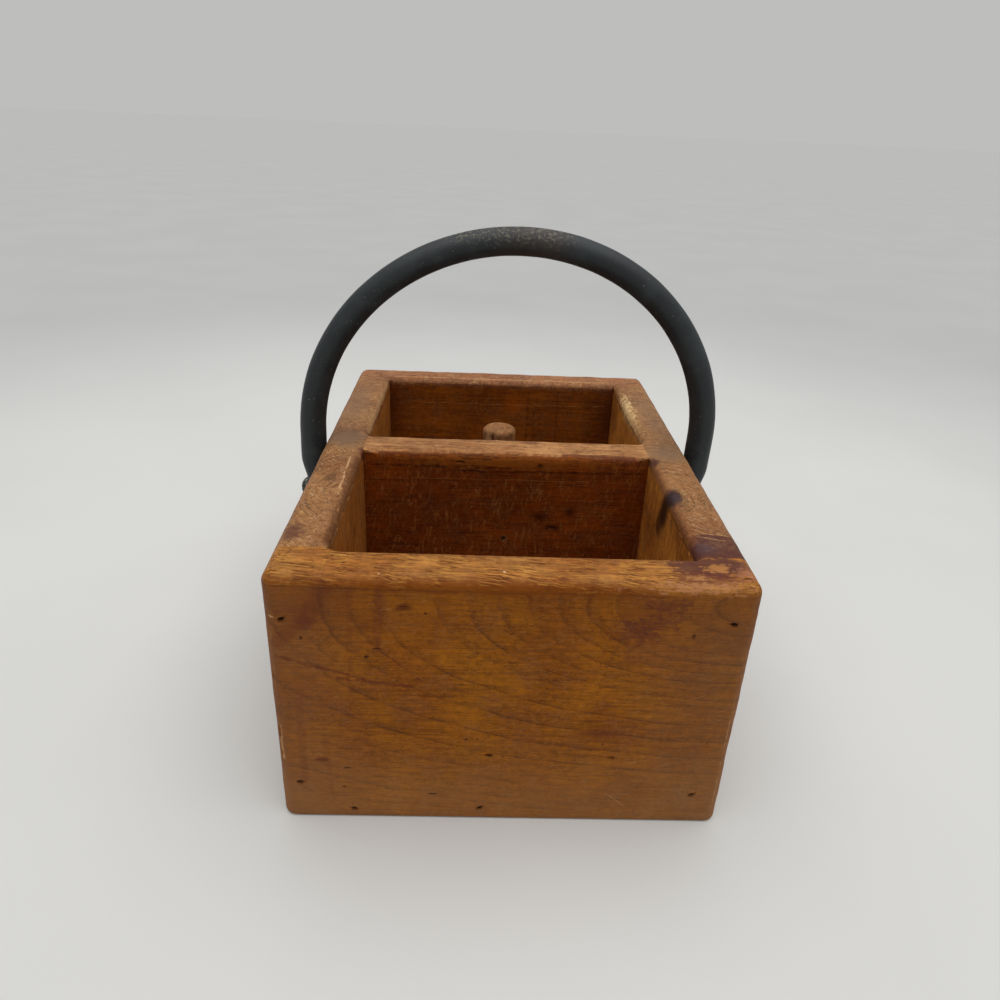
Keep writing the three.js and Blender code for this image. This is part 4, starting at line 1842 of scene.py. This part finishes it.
@dataclass(frozen=True)
class Studio:
    """The floor, the soft light and the camera at the photograph's angle.

    Attributes:
        camera_place: the camera's place, in metres.
        pitch: how far it looks down, in degrees.
        yaw: how far it is turned to the right, in degrees.
        roll: how far it is tilted, in degrees.
        lens: its focal length, in millimetres on a 36 mm sensor.
        floor_half: half the floor's size, in metres.
        floor_colour: the floor's colour near the caddy.
        far_colour: its colour far away, where it meets the sky.
        sky_colour: the sky's colour.
        floor_fade: where the floor's colour starts to change and where it is done, in millimetres.
        sun_tilt: how far the light leans to the front and to the left, in degrees.
        sun_width: how broad the light is, in degrees.
        sun_energy: how strong it is.
        fill: the sky's light in front of the caddy and behind it.
    """

    camera_place: Point = (-0.0141, -0.3329, 0.2432)
    pitch: float = 26.04
    yaw: float = 2.09
    roll: float = 2.58
    lens: float = 27.84
    floor_half: float = 30.0
    floor_colour: Colour = shade(212, 212, 209)
    far_colour: Colour = shade(184, 184, 183)
    sky_colour: Colour = shade(190, 190, 189)
    floor_fade: tuple[float, float] = (260.0, 900.0)
    sun_tilt: tuple[float, float] = (8.0, 3.0)
    sun_width: float = 85.0
    sun_energy: float = 2.72
    fill: tuple[float, float] = (0.06, 0.36)

    def camera(self) -> None:
        """Sets up the camera where the photograph was taken from."""
        pitch, yaw, roll = (math.radians(angle) for angle in (self.pitch, self.yaw, self.roll))
        ahead = Vector((math.sin(yaw) * math.cos(pitch), math.cos(yaw) * math.cos(pitch), -math.sin(pitch)))
        right = Vector((math.cos(yaw), -math.sin(yaw), 0))
        up = right.cross(ahead)
        tilted_right = right * math.cos(roll) + up * math.sin(roll)
        tilted_up = up * math.cos(roll) - right * math.sin(roll)
        turned = Matrix((tilted_right, tilted_up, -ahead)).transposed().to_4x4()
        Bench.clear()
        bpy.ops.object.camera_add()
        camera = bpy.context.object
        camera.name = "photo_camera"
        camera.matrix_world = Matrix.Translation(Vector(self.camera_place)) @ turned
        camera.data.lens = self.lens
        camera.data.sensor_width = 36.0
        camera.data.clip_start = 0.01
        camera.data.clip_end = 200.0
        bpy.context.scene.camera = camera

    def floor(self) -> None:
        """Lays a plain pale floor under the caddy."""
        Bench.clear()
        bpy.ops.mesh.primitive_plane_add(size=2 * self.floor_half, location=(0, 0, 0))
        floor = Bench.settle("floor")
        wiring = Wiring("pale_floor")
        away = wiring.between(wiring.length(wiring.place), self.floor_fade[0], self.floor_fade[1])
        body = wiring.blend(away, self.floor_colour, self.far_colour)
        cloud = wiring.between(wiring.noise(wiring.place, 150, 3), 0.3, 0.7, 0.97, 1.0)
        wiring.dress(wiring.dim(body, cloud), 0.6, 0.0)
        floor.data.materials.append(wiring.material)
        floor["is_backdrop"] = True

    def light(self) -> None:
        """Adds a broad soft light from above, and a sky that is brighter behind the caddy than in front."""
        Bench.clear()
        tilt = tuple(math.radians(angle) for angle in self.sun_tilt)
        bpy.ops.object.light_add(type="SUN", rotation=(*tilt, 0))
        sun = bpy.context.object
        sun.name = "soft_window"
        sun.data.energy = self.sun_energy
        sun.data.angle = math.radians(self.sun_width)
        world = bpy.data.worlds.new("pale_room")
        bpy.context.scene.world = world
        world.use_nodes = True
        self.wire_sky(world.node_tree)

    def wire_sky(self, tree: bpy.types.NodeTree) -> None:
        """Wires the sky: one colour where it is seen, and a plain light that grows towards the back.

        Args:
            tree: the world's nodes.
        """
        tree.nodes.clear()
        nodes = {
            name: tree.nodes.new(f"ShaderNode{kind}")
            for name, kind in (
                ("output", "OutputWorld"),
                ("seen", "Background"),
                ("fill", "Background"),
                ("direction", "TexCoord"),
                ("parts", "SeparateXYZ"),
                ("level", "MapRange"),
                ("rays", "LightPath"),
                ("either", "Math"),
                ("clear", "Math"),
                ("mix", "MixShader"),
            )
        }
        nodes["seen"].inputs["Color"].default_value = self.sky_colour
        nodes["fill"].inputs["Color"].default_value = (1.0, 1.0, 1.0, 1.0)
        nodes["either"].operation = "MAXIMUM"
        nodes["clear"].operation = "MAXIMUM"
        nodes["level"].interpolation_type = "SMOOTHSTEP"
        for name, value in zip(("From Min", "From Max", "To Min", "To Max"), (-1.0, 1.0, *self.fill)):
            nodes["level"].inputs[name].default_value = value
        for start, output, end, entry in (
            ("direction", "Generated", "parts", 0),
            ("parts", "Y", "level", "Value"),
            ("level", 0, "fill", "Strength"),
            ("rays", "Is Camera Ray", "either", 0),
            ("rays", "Is Glossy Ray", "either", 1),
            ("either", 0, "clear", 0),
            ("rays", "Is Transmission Ray", "clear", 1),
            ("clear", 0, "mix", "Fac"),
            ("fill", 0, "mix", 1),
            ("seen", 0, "mix", 2),
            ("mix", 0, "output", "Surface"),
        ):
            tree.links.new(nodes[start].outputs[output], nodes[end].inputs[entry])


def nail_names(*starts: str) -> list[str]:
    """Lists the frame's nails whose names start with any of the given words."""
    return sorted(name for name in frame["nodes"] if "_nail_" in name and name.startswith(starts))


@dataclass(frozen=True)
class WoodPalette:
    """The finish of every wooden piece, with the marks that the years have left on it, and some painted light
    and shade.

    Attributes:
        front: where the front board's face is.
        rim: the height of the box's rim.
        divider: where the divider's front face is.
    """

    front: float = -117.5
    rim: float = 108.5
    divider: float = -9.5

    def on_front(self, x: float, z: float) -> Point:
        """Gives a point on the front board's face."""
        return (x, self.front, z)

    def on_rim(self, x: float, y: float) -> Point:
        """Gives a point on the rim."""
        return (x, y, self.rim)

    def on_divider(self, x: float, z: float) -> Point:
        """Gives a point on the divider's front face."""
        return (x, self.divider, z)

    def small_marks(self) -> tuple[Spot, ...]:
        """Gives the small dark marks on the front board's face, each across, up, wide and high.

        Returns:
            The marks.
        """
        places = (
            (-71.4, 83.8, 0.8, 1.3),
            (-45.9, 79.9, 2.6, 0.9),
            (-49.8, 76.4, 1.2, 1.1),
            (-29.5, 95.1, 1, 0.8),
            (-58.6, 25.3, 1.7, 0.6),
            (-60, 16, 1.1, 0.6),
            (-26.9, 12.7, 2.6, 0.6),
            (-14.7, 40.3, 1, 0.7),
            (-10.8, 40.3, 0.8, 0.6),
            (-27, 50.1, 0.6, 0.6),
            (35.6, 39.2, 0.9, 0.7),
            (-6, 32.6, 2.2, 0.9),
            (39.6, 32.2, 1.8, 1.1),
            (62, 88, 1.2, 1.6),
        )
        return tuple(
            Spot(self.on_front(x, z), (wide, 1.5, high), DARK_MARK_AND_SHADE, 0.75, 1.1, 0.7)
            for x, z, wide, high in places
        )

    def nail_stains(self, *starts: str) -> tuple[Spot, ...]:
        """Gives the dark iron stain round each nail whose name starts with any of the given words."""
        heads = [NailHoles.head(name)[0] / MM for name in nail_names(*starts)]
        return tuple(Spot(tuple(head), (2.6, 2.6, 2.2), DARK_MARK_AND_SHADE, 0.55, 1, 0.8) for head in heads)

    def front_marks(self) -> tuple[Mark, ...]:
        """Gives the stains and scratches on the front board's face, and the light and shade painted on it.

        Returns:
            The marks.
        """
        front = self.on_front
        return (
            Haze(Axis.ACROSS, 30, 84, shade(128, 87, 56), 0.6, Zone.FACE),
            Haze(Axis.ACROSS, -40, -84, shade(128, 84, 54), 0.6, Zone.FACE),
            # Lighter and greyer towards the bottom: partly a dusty haze, partly painted light bounced up from
            # the floor.
            Haze(Axis.UP, 46, 0, shade(160, 114, 72), 0.55, Zone.FACE),
            # Painted shade: the face is darker towards its top.
            Haze(Axis.UP, 78, 104, shade(118, 60, 8), 0.4, Zone.FACE),
            Scuffs((0, 22, 0), 10, 0.45, PALE_WEAR_AND_HIGHLIGHT, 0.14, 0.3, Zone.FACE),
            Scuffs((0, -50, 0), 5, 0.4, DARK_MARK_AND_SHADE, 0.35, 0.2, Zone.FACE),
            Spot(front(-8, 105.8), (88, 5, 4), shade(124, 62, 1), 0.88, 1.4, 0.7),
            Spot(front(34, 44), (15, 3, 3.2), REDDISH, 0.5, 1.3, 0.9),
            Spot(front(-67.4, 29.3), (4, 2, 1.6), REDDISH, 0.75, 1, 0.7),
            Spot(front(-36.8, 97.3), (4, 1.5, 1.8), shade(84, 34, 16), 0.75, 1.4, 0.8),
            Spot(front(-72, 93), (12, 3, 10), REDDISH, 0.3, 1, 0.9),
            Stroke(front(-63.2, 104), front(-69.6, 90.4), 4.4, REDDISH, 0.38, False),
            Stroke(front(-69.6, 90.4), front(-80, 82), 4, REDDISH, 0.38, False),
            Stroke(front(-80, 76), front(-50.5, 66.6), 1.1, REDDISH, 0.7),
            Stroke(front(-60, 67), front(-34, 64.2), 1.2, REDDISH, 0.7),
            Stroke(front(-44.5, 78.5), front(-30, 66), 0.6, REDDISH, 0.6),
            Stroke(front(-44.4, 105), front(-46.2, 80), 2.4, REDDISH, 0.45),
            Stroke(front(-54.5, 104), front(-55.5, 62), 1.8, REDDISH, 0.3),
            Stroke(front(-74, 60), front(-74.6, 14), 2.2, REDDISH, 0.26),
            Stroke(front(-66, 40), front(-65, 10), 1.8, REDDISH, 0.2),
            Spot(front(53, 100.5), (14, 3, 4.6), PLUM, 0.58, 5, 1),
            Spot(front(43.5, 89), (11, 3, 8), PLUM, 0.62, 5, 1),
            Spot(front(50, 94), (11, 3, 6), PLUM, 0.5, 5, 1),
            # Painted shade: a dark line along the crease under the rounded top.
            Stroke((-84, -117.4, 104.2), (-20, -117.4, 103.8), 0.5, DARK_MARK_AND_SHADE, 0.45),
            Stroke((-20, -117.4, 103.8), (56, -117.4, 104.2), 0.45, DARK_MARK_AND_SHADE, 0.3),
            Stroke(front(39.3, 14.6), front(47.9, 6.9), 0.35, PALE_WEAR_AND_HIGHLIGHT, 0.4),
            Stroke(front(44.1, 29.5), front(57.3, 32.8), 0.3, PALE_WEAR_AND_HIGHLIGHT, 0.35),
            Stroke((-82.2, -116.6, 44), (-81.8, -116.6, 29), 0.9, PALE_WEAR_AND_HIGHLIGHT, 0.6),
            # Pale lines down the upright edges: partly wear, partly painted highlight.
            Stroke((-82, -116.9, 88), (-82, -116.9, 60), 0.5, PALE_WEAR_AND_HIGHLIGHT, 0.3),
            Stroke((81.2, -117.2, 62), (81.2, -117.2, 8), 0.5, PALE_WEAR_AND_HIGHLIGHT, 0.4),
            Spot(front(-81.5, 92), (2.2, 1.5, 0.7), PALE_WEAR_AND_HIGHLIGHT, 0.8, 0.8, 0.6),
            *self.small_marks(),
            *self.nail_stains("front"),
        )

    def front_rim_marks(self) -> tuple[Mark, ...]:
        """Gives the marks on the front board's rounded top.

        Returns:
            The marks.
        """
        rim = self.on_rim
        return (
            Scuffs((0, -4, 6), 60, 0.62, shade(102, 50, 12), 0.7, 0.95, Zone.TOP),
            Scuffs((0, -7, 12), 34, 0.55, shade(78, 34, 6), 0.75, 0.85, Zone.TOP),
            Scuffs((0, -4, 8), 40, 0.5, shade(226, 166, 76), 0.32, 0.8, Zone.TOP),
            Spot(rim(67.5, -105), (16.5, 8, 4), PLUM_DEEP, 0.86, 1.8, 0.3),
            Spot(rim(66, -112.5), (17, 5, 6), PLUM, 0.7, 2.6, 0.6),
            Spot(rim(70.4, -106), (6.5, 3.2, 2), shade(174, 116, 60), 0.85, 3.4, 0.5),
            Spot(rim(62, -112.5), (5, 2, 3), shade(190, 134, 80), 0.6, 4.4, 0.7),
            Spot(rim(79, -109), (5, 6, 3), shade(186, 122, 92), 0.55, 4.4, 0.8),
            Spot((62, -116, 106.6), (22, 3, 2.4), shade(194, 134, 88), 0.65, 6, 1),
            Spot(rim(-45, -114.6), (0.8, 0.8, 0.8), PALE_CHIP, 0.9, 0.4, 0.4),
            Spot(rim(-1.3, -101.4), (1.8, 0.9, 1.2), DARK_MARK_AND_SHADE, 0.8, 0.8, 0.5),
            Spot(rim(-3.3, -111.9), (0.7, 0.7, 0.7), PALE_CHIP, 0.7, 0.4, 0.4),
            Stroke(rim(-60, -104.5), rim(-34, -106), 0.4, DARK_MARK_AND_SHADE, 0.55),
        )

    def front_board(self) -> WoodFinish:
        """Gives the front board's finish.

        Returns:
            The finish.
        """
        return WoodFinish(
            name="front_board_wood",
            grain=Grain(Axis.ACROSS, (84, -112, 100), (2.5, 1, 1), 3.9, 3.5),
            face=Tone(shade(168, 99, 6), shade(149, 82, 5), shade(68, 30, 8), 0.66, 0.42, 0.08, 0.16),
            inside=Tone(shade(120, 56, 12), shade(92, 38, 8), shade(42, 16, 6), 0.4, 0.4, 0.1, 0.3),
            top=Tone(shade(192, 131, 60), shade(170, 102, 34), shade(92, 46, 18), 0.2, 0.66, 0.1, 0.25),
            marks=self.front_marks() + self.front_rim_marks(),
            top_start=103.4,
            top_full=107.2,
        )

    def left_marks(self) -> tuple[Mark, ...]:
        """Gives the marks on the left side board.

        Returns:
            The marks.
        """
        rim = self.on_rim
        umber = shade(84, 44, 22)
        return (
            Spot(rim(-75, 4), (14, 15, 5), GREY_BROWN, 0.7, 1.2, 0.8),
            Spot(rim(-73.6, -41.3), (4.4, 6, 3), DARK_MARK_AND_SHADE, 0.55, 1.8, 0.8),
            Spot(rim(-79, -88), (5, 9, 4), PLUM_DEEP, 0.7, 1.8, 0.6),
            Stroke((-66.2, -16, 106.2), (-66, -94, 106), 4.4, shade(122, 74, 38), 0.55, False),
            Spot((-64.8, -9.8, 106.5), (3.6, 5.2, 3.4), MAROON, 0.8, 0.6, 0.4),
            Stroke((-66.6, -18, 106.8), (-66.4, -92, 106.6), 2.4, umber, 0.6),
            Stroke((-66.9, -22, 107.2), (-65.1, -62, 104.4), 0.7, umber, 0.8),
            Stroke((-66.6, -48, 106.8), (-64.9, -94, 102.8), 0.8, umber, 0.8),
            Stroke((-69.3, -18, 108.4), (-68.3, -56, 108.1), 0.6, shade(224, 184, 134), 0.62),
            Stroke((-68, -50, 107.9), (-66, -80, 105.8), 0.9, shade(206, 152, 92), 0.7),
            Stroke((-65.2, -38, 104.4), (-65.2, -90, 104.2), 0.9, PALE_WEAR_AND_HIGHLIGHT, 0.4),
            Spot(rim(-77, 52), (10, 60, 6), GREY_BROWN, 0.45, 1.4, 1),
            Stroke((-66.2, 16, 106.2), (-66, 92, 106), 2.6, shade(176, 134, 92), 0.7),
            Stroke((-65.8, 14, 105.8), (-65, 60, 104), 0.9, umber, 0.8),
            Stroke((-65.2, 40, 104.6), (-64.8, 94, 102.8), 0.8, umber, 0.7),
            Stroke((-67.2, 28, 107.4), (-66.8, 56, 107), 0.7, shade(222, 180, 128), 0.7),
        )

    def right_marks(self) -> tuple[Mark, ...]:
        """Gives the marks on the right side board.

        Returns:
            The marks.
        """
        rim = self.on_rim
        drip = shade(50, 25, 14)
        return (
            Spot(rim(75, -4), (14, 15, 5), GREY_BROWN, 0.7, 1.2, 0.8),
            Spot(rim(73.5, -91.5), (15.5, 11.5, 5), PLUM_DEEP, 0.92, 0.9, 0.2),
            Spot(rim(69, -92), (7, 6, 3), shade(76, 60, 62), 0.6, 2.4, 0.8),
            Spot(rim(76, -88), (9, 7, 3), shade(140, 100, 74), 0.32, 6, 1),
            Stroke((66.4, -16, 106.4), (66.2, -86, 106.2), 4, shade(138, 82, 42), 0.45, False),
            Stroke((66.3, -16, 106.3), (66.2, -94, 106.2), 1.7, MAROON, 0.5),
            Spot(rim(77, 46), (10, 62, 6), GREY_BROWN, 0.45, 1.4, 1),
            Spot((66.8, 56, 105.8), (4.4, 36, 5), shade(206, 164, 110), 0.85, 2.6, 0.7),
            Spot((67.2, 64, 106.6), (3.4, 22, 3.4), shade(232, 198, 144), 0.75, 6, 0.9),
            Stroke((66.8, 14, 107), (66.4, 70, 106.6), 0.8, shade(98, 60, 36), 0.8),
            Stroke((65.6, 18, 105.4), (64.9, 92, 103.4), 0.9, shade(84, 46, 24), 0.8),
            Spot((66.8, -12.4, 107.2), (3.6, 5.4, 2.8), shade(70, 34, 28), 0.85, 1, 0.6),
            Stroke((66, -49, 106), (64.9, -46, 98), 8, drip, 0.85, False),
            Stroke((64.9, -46, 101), (64.9, -40, 90), 6.4, drip, 0.7, False),
            Spot((67.2, -49.5, 107.6), (5.4, 10.6, 4.8), shade(50, 34, 34), 0.9, 1.1, 0.7),
            Spot((68, -50.5, 108.2), (2.8, 5.4, 2.4), shade(72, 58, 62), 0.65, 1.2, 0.9),
            Stroke(rim(64, -81.5), rim(78, -86), 0.5, PALE_WEAR_AND_HIGHLIGHT, 0.75),
            Stroke(rim(70, -80.5), rim(84, -83), 0.45, PALE_WEAR_AND_HIGHLIGHT, 0.65),
            Stroke((65, -54, 104.4), (65, -94, 104.2), 0.8, DARK_MARK_AND_SHADE, 0.6),
        )

    def side_board(self, side: Side) -> WoodFinish:
        """Gives a side board's finish.

        Args:
            side: left or right.

        Returns:
            The finish.
        """
        marks = self.left_marks() if side is Side.LEFT else self.right_marks()
        # Painted light: the right board's inside is made lighter than the left's, standing in for light that
        # falls on that wall.
        inside = shade(196, 122, 50) if side is Side.LEFT else shade(232, 150, 60)
        return WoodFinish(
            name=f"{side.name.lower()}_board_wood",
            grain=Grain(Axis.UP, (side.value * 69, -52, 90), (1, 1.9, 8), 2.1, 3.5),
            face=Tone(shade(154, 92, 34), shade(130, 76, 28), shade(64, 30, 14), 0.5, 0.42, 0.16, 0.3),
            inside=Tone(inside, shade(176, 104, 38), shade(92, 48, 18), 0.45, 0.5, 0.15, 0.3),
            top=Tone(shade(168, 119, 72), shade(140, 91, 52), shade(74, 42, 28), 0.85, 0.4, 0.3, 0.32),
            marks=(
                Scuffs((0, 0, 38), 4, 0.42, PALE_CHIP, 0.5, 0.45, Zone.TOP),
                Scuffs((0, 0, -46), 3.4, 0.4, PALE_WEAR_AND_HIGHLIGHT, 0.5, 0.45, Zone.TOP),
                Scuffs((0, 0, 78), 4.6, 0.42, LINE_BROWN, 0.6, 0.5, Zone.TOP),
                Scuffs((0, 80, 0), 12, 0.5, LINE_BROWN, 0.5, 0.4, Zone.INSIDE),
                *marks,
            ),
            gloss=0.58,
        )

    def divider_board(self) -> WoodFinish:
        """Gives the divider's finish: pale on top and dark on its faces.

        Returns:
            The finish.
        """
        face = self.on_divider
        knot = shade(46, 14, 3)
        scratch = shade(150, 92, 44)
        tone = Tone(shade(138, 62, 4), shade(112, 46, 3), shade(54, 18, 2), 0.3, 0.4, 0.06, 0.3)
        return WoodFinish(
            name="divider_board_wood",
            grain=Grain(Axis.ACROSS, (-20, -50, 40), (3.5, 1, 1), 2.8),
            face=tone,
            inside=tone,
            top=Tone(shade(210, 152, 96), shade(178, 118, 68), shade(98, 54, 28), 0.55, 0.5, 0.3, 0.3),
            marks=(
                Scuffs((0, 84, 0), 7, 1, scratch, 0.6, 0.55, Zone.INSIDE),
                Scuffs((0, 58, 0), 6, 0.7, scratch, 0.45, 0.5, Zone.INSIDE),
                Scuffs((0, -70, 0), 6, 0.7, scratch, 0.45, 0.5, Zone.INSIDE),
                Spot((0, -8.8, 104.2), (68, 4.6, 4.4), shade(152, 84, 24), 0.82, 2.6, 0.7),
                Scuffs((0, 1, 1), 30, 0.7, shade(66, 30, 10), 0.6, 0.7),
                Scuffs((0, 0, 2), 22, 0.6, LINE_BROWN, 0.6, 0.7, Zone.TOP),
                Scuffs((0, 0, -3), 14, 0.5, PALE_WEAR_AND_HIGHLIGHT, 0.3, 0.5, Zone.TOP),
                Spot(self.on_rim(11, 4.6), (6.5, 2.4, 2), PLUM, 0.65, 1.6, 0.6),
                Stroke((26, -8, 107.8), (58, -8.2, 107.6), 1.5, PLUM, 0.7),
                Stroke((-62, -9.2, 101.6), (2, -9.2, 101.2), 1.1, knot, 0.7),
                Stroke((-20, -9.4, 99.4), (62, -9.4, 100.2), 0.9, knot, 0.7),
                Spot(face(17, 77), (7, 2, 4.6), knot, 0.8, 1.2, 0.9),
                Spot(face(23, 71), (6, 2, 2.4), knot, 0.9, 1, 0.8),
                Spot(face(31, 80), (3.6, 2, 3.4), knot, 0.8, 1, 0.9),
                Spot(face(15.2, 103), (2.6, 2, 1.6), knot, 0.8, 1, 0.8),
                Spot(face(0.2, 64.4), (2.6, 1.5, 2.6), shade(140, 96, 60), 0.6, 0.8, 0.7),
                # Painted shade inside the small hole.
                Spot(face(0, 64.7), (1.5, 1.5, 1.5), shade(20, 8, 5), 0.95, 0.5, 0.5),
                Stroke((-60, -9.6, 95), (56, -9.6, 95.7), 0.35, scratch, 0.7),
                Stroke((-21, -8.8, 104.6), (-17, -8.8, 104.4), 0.5, PALE_WEAR_AND_HIGHLIGHT, 0.8),
                Stroke((-60, -8.6, 106), (10, -8.6, 106.2), 0.6, DARK_MARK_AND_SHADE, 0.5),
                Stroke((4, -9, 103.2), (60, -9, 102.6), 0.5, DARK_MARK_AND_SHADE, 0.5),
            ),
            gloss=0.58,
            top_start=106.6,
            top_full=108.3,
        )

    def back_board(self) -> WoodFinish:
        """Gives the back board's finish.

        Returns:
            The finish.
        """
        return WoodFinish(
            name="back_board_wood",
            grain=Grain(Axis.ACROSS, (-30, 60, 20), (4, 1, 1), 2.8),
            face=Tone(shade(152, 94, 34), shade(130, 76, 26), shade(64, 30, 12), 0.45, 0.42, 0.15, 0.3),
            inside=Tone(shade(154, 82, 16), shade(130, 64, 11), shade(64, 26, 7), 0.4, 0.45, 0.1, 0.25),
            top=Tone(shade(170, 112, 70), shade(142, 86, 50), shade(84, 46, 26), 0.5, 0.5, 0.4, 0.3),
            marks=(
                Spot((8, 98.4, 94.5), (10, 3, 9), shade(172, 84, 14), 0.6, 1, 0.9),
                # Painted shade: the back wall darkens towards both inner corners.
                Spot((-66, 98.4, 92), (16, 8, 30), shade(66, 29, 20), 0.6, 0.7, 1),
                Spot((66, 98.4, 88), (24, 8, 38), shade(66, 30, 18), 0.6, 0.7, 1),
                Stroke((-50, 99.2, 105.2), (66, 99.2, 105), 1.6, shade(86, 42, 28), 0.8),
                Stroke((15.5, 98.4, 60), (15.5, 98.4, 103), 0.9, DARK_MARK_AND_SHADE, 0.4),
                Stroke((32.7, 98.4, 60), (32.7, 98.4, 103), 0.9, DARK_MARK_AND_SHADE, 0.4),
                Stroke((-60, 98.4, 96.6), (62, 98.4, 97.8), 0.45, DARK_MARK_AND_SHADE, 0.5),
                Stroke((-48, 98.4, 94.2), (60, 98.4, 95), 0.4, PALE_WEAR_AND_HIGHLIGHT, 0.3),
                Stroke((-62, 102.4, 108), (62, 102.4, 108), 1.1, PALE_WEAR_AND_HIGHLIGHT, 0.6),
                Scuffs((0, 20, 0), 8, 0.5, PALE_WEAR_AND_HIGHLIGHT, 0.3, 0.3, Zone.FACE),
                Scuffs((0, 0, 30), 4, 0.45, PALE_CHIP, 0.5, 0.45, Zone.TOP),
            ),
        )

    def bottom_board(self) -> WoodFinish:
        """Gives the bottom board's finish, dull and little worn.

        Returns:
            The finish.
        """
        tone = Tone(shade(138, 88, 44), shade(118, 70, 34), shade(60, 32, 16), 0.4, 0.4, 0.15, 0.35)
        return WoodFinish(
            name="bottom_board_wood",
            grain=Grain(Axis.ACROSS, (10, 20, -60), (5, 1, 1), 3),
            face=tone,
            inside=tone,
            top=tone,
            gloss=0.66,
        )

    def peg(self) -> WoodFinish:
        """Gives the peg's finish, dull and greyish, with darker streaks down its side, one along its crack.

        Returns:
            The finish.
        """
        tone = Tone(shade(166, 114, 70), shade(140, 92, 54), shade(80, 46, 26), 0.5, 0.5, 0.35, 0.3)
        return WoodFinish(
            name="peg_wood",
            grain=Grain(Axis.UP, (-3, 52, 60), (1, 1, 12), 1.5, 2),
            face=tone,
            inside=tone,
            top=tone,
            marks=(
                Spot((-8.2, 48, 90), (2.6, 4, 9), shade(216, 170, 122), 0.55, 1.2, 0.7),
                Stroke((-5.6, 46.4, 96.4), (-5.6, 45.8, 82), 1.2, shade(84, 52, 32), 0.6, False),
                Stroke((1.8, 46.2, 95.4), (1.6, 45.8, 84), 1, shade(92, 58, 36), 0.5),
            ),
            gloss=0.62,
        )


def corners(low: Vector, high: Vector) -> list[list[float]]:
    """Turns a box into plain lists of numbers."""
    return [list(low), list(high)]


def build_box(palette: WoodPalette) -> None:
    """Builds and dresses the six boards and the peg.

    Args:
        palette: the finish of every wooden piece.
    """
    boards = BoxBoards()
    pivot = Vector(frame["joints"][0]["pos_m"])
    screw_low, screw_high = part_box("peg_screw")
    under = Vector(((screw_low.x + screw_high.x) / 2, (screw_low.y + screw_high.y) / 2, -2 * MM))
    through, head_depth, head_radius = 14 * MM, 3.4 * MM, 4.3 * MM
    bore = Bench.rod("bore", under, under + Vector((0, 0, through)), Peg.bore_radius * MM)
    sink = Bench.rod("sink", under, under + Vector((0, 0, head_depth)), head_radius, sides=32)
    end_nails = nail_names("front", "back")
    hole_start, hole_length = 70 * MM, 16 * MM
    hole_radius = PivotHardware.hole_diameter * MM / 2
    boards.board("front_board", "end_wood", nail_names("front"), palette.front_board())
    boards.board("back_board", "end_wood", nail_names("back"), palette.back_board())
    for side in Side:
        hand = side.name.lower()
        start = Vector((side.value * hole_start, pivot.y, pivot.z))
        hole = Bench.rod("hole", start, start + Vector((side.value * hole_length, 0, 0)), hole_radius)
        nails = [name for name in end_nails if name.endswith(hand) and "floor" not in name]
        nails += nail_names(hand)
        boards.board(f"{hand}_board", "side_wood", nails, palette.side_board(side), [hole])
    divider_nails = [name for name in nail_names("left", "right") if "divider" in name]
    boards.board("divider_board", "divider_wood", divider_nails, palette.divider_board())
    floor_nails = [name for name in nail_names("") if "floor" in name]
    boards.board("bottom_board", "bottom_wood", floor_nails, palette.bottom_board(), [bore, sink])
    Peg().build(palette.peg())


def build_handle() -> None:
    """Builds and dresses the handle, its screws and its washers, and dresses the peg's screw."""
    BailHandle().build(BarPaintFinish())
    steel = TarnishedSteelFinish().material()
    hardware = PivotHardware()
    for side in Side:
        hardware.screw(side, steel)
        hardware.washer(side, steel)
    dress_node("peg_screw", steel)


def dress_node(node: str, finish: bpy.types.Material) -> None:
    """Gives a piece of the frame a better material, leaving its mesh alone.

    Args:
        node: the piece's node.
        finish: its only material.
    """
    for holder in frame["nodes"][node].material_slots:
        holder.material = finish
    LOG.info("%s: dressed", node)


def main() -> None:
    """Builds the caddy and the studio."""
    logging.basicConfig(level=logging.INFO, format="%(name)s: %(message)s")
    sizes = {"cad": corners(*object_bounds())}
    bpy.context.scene.view_settings.view_transform = "Standard"
    studio = Studio()
    studio.camera()
    studio.floor()
    studio.light()
    build_box(WoodPalette())
    build_handle()
    iron = RustyIronFinish().material()
    for name in nail_names(""):
        dress_node(name, iron)
    sizes["visual"] = corners(*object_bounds())


if __name__ == "__main__":
    main()
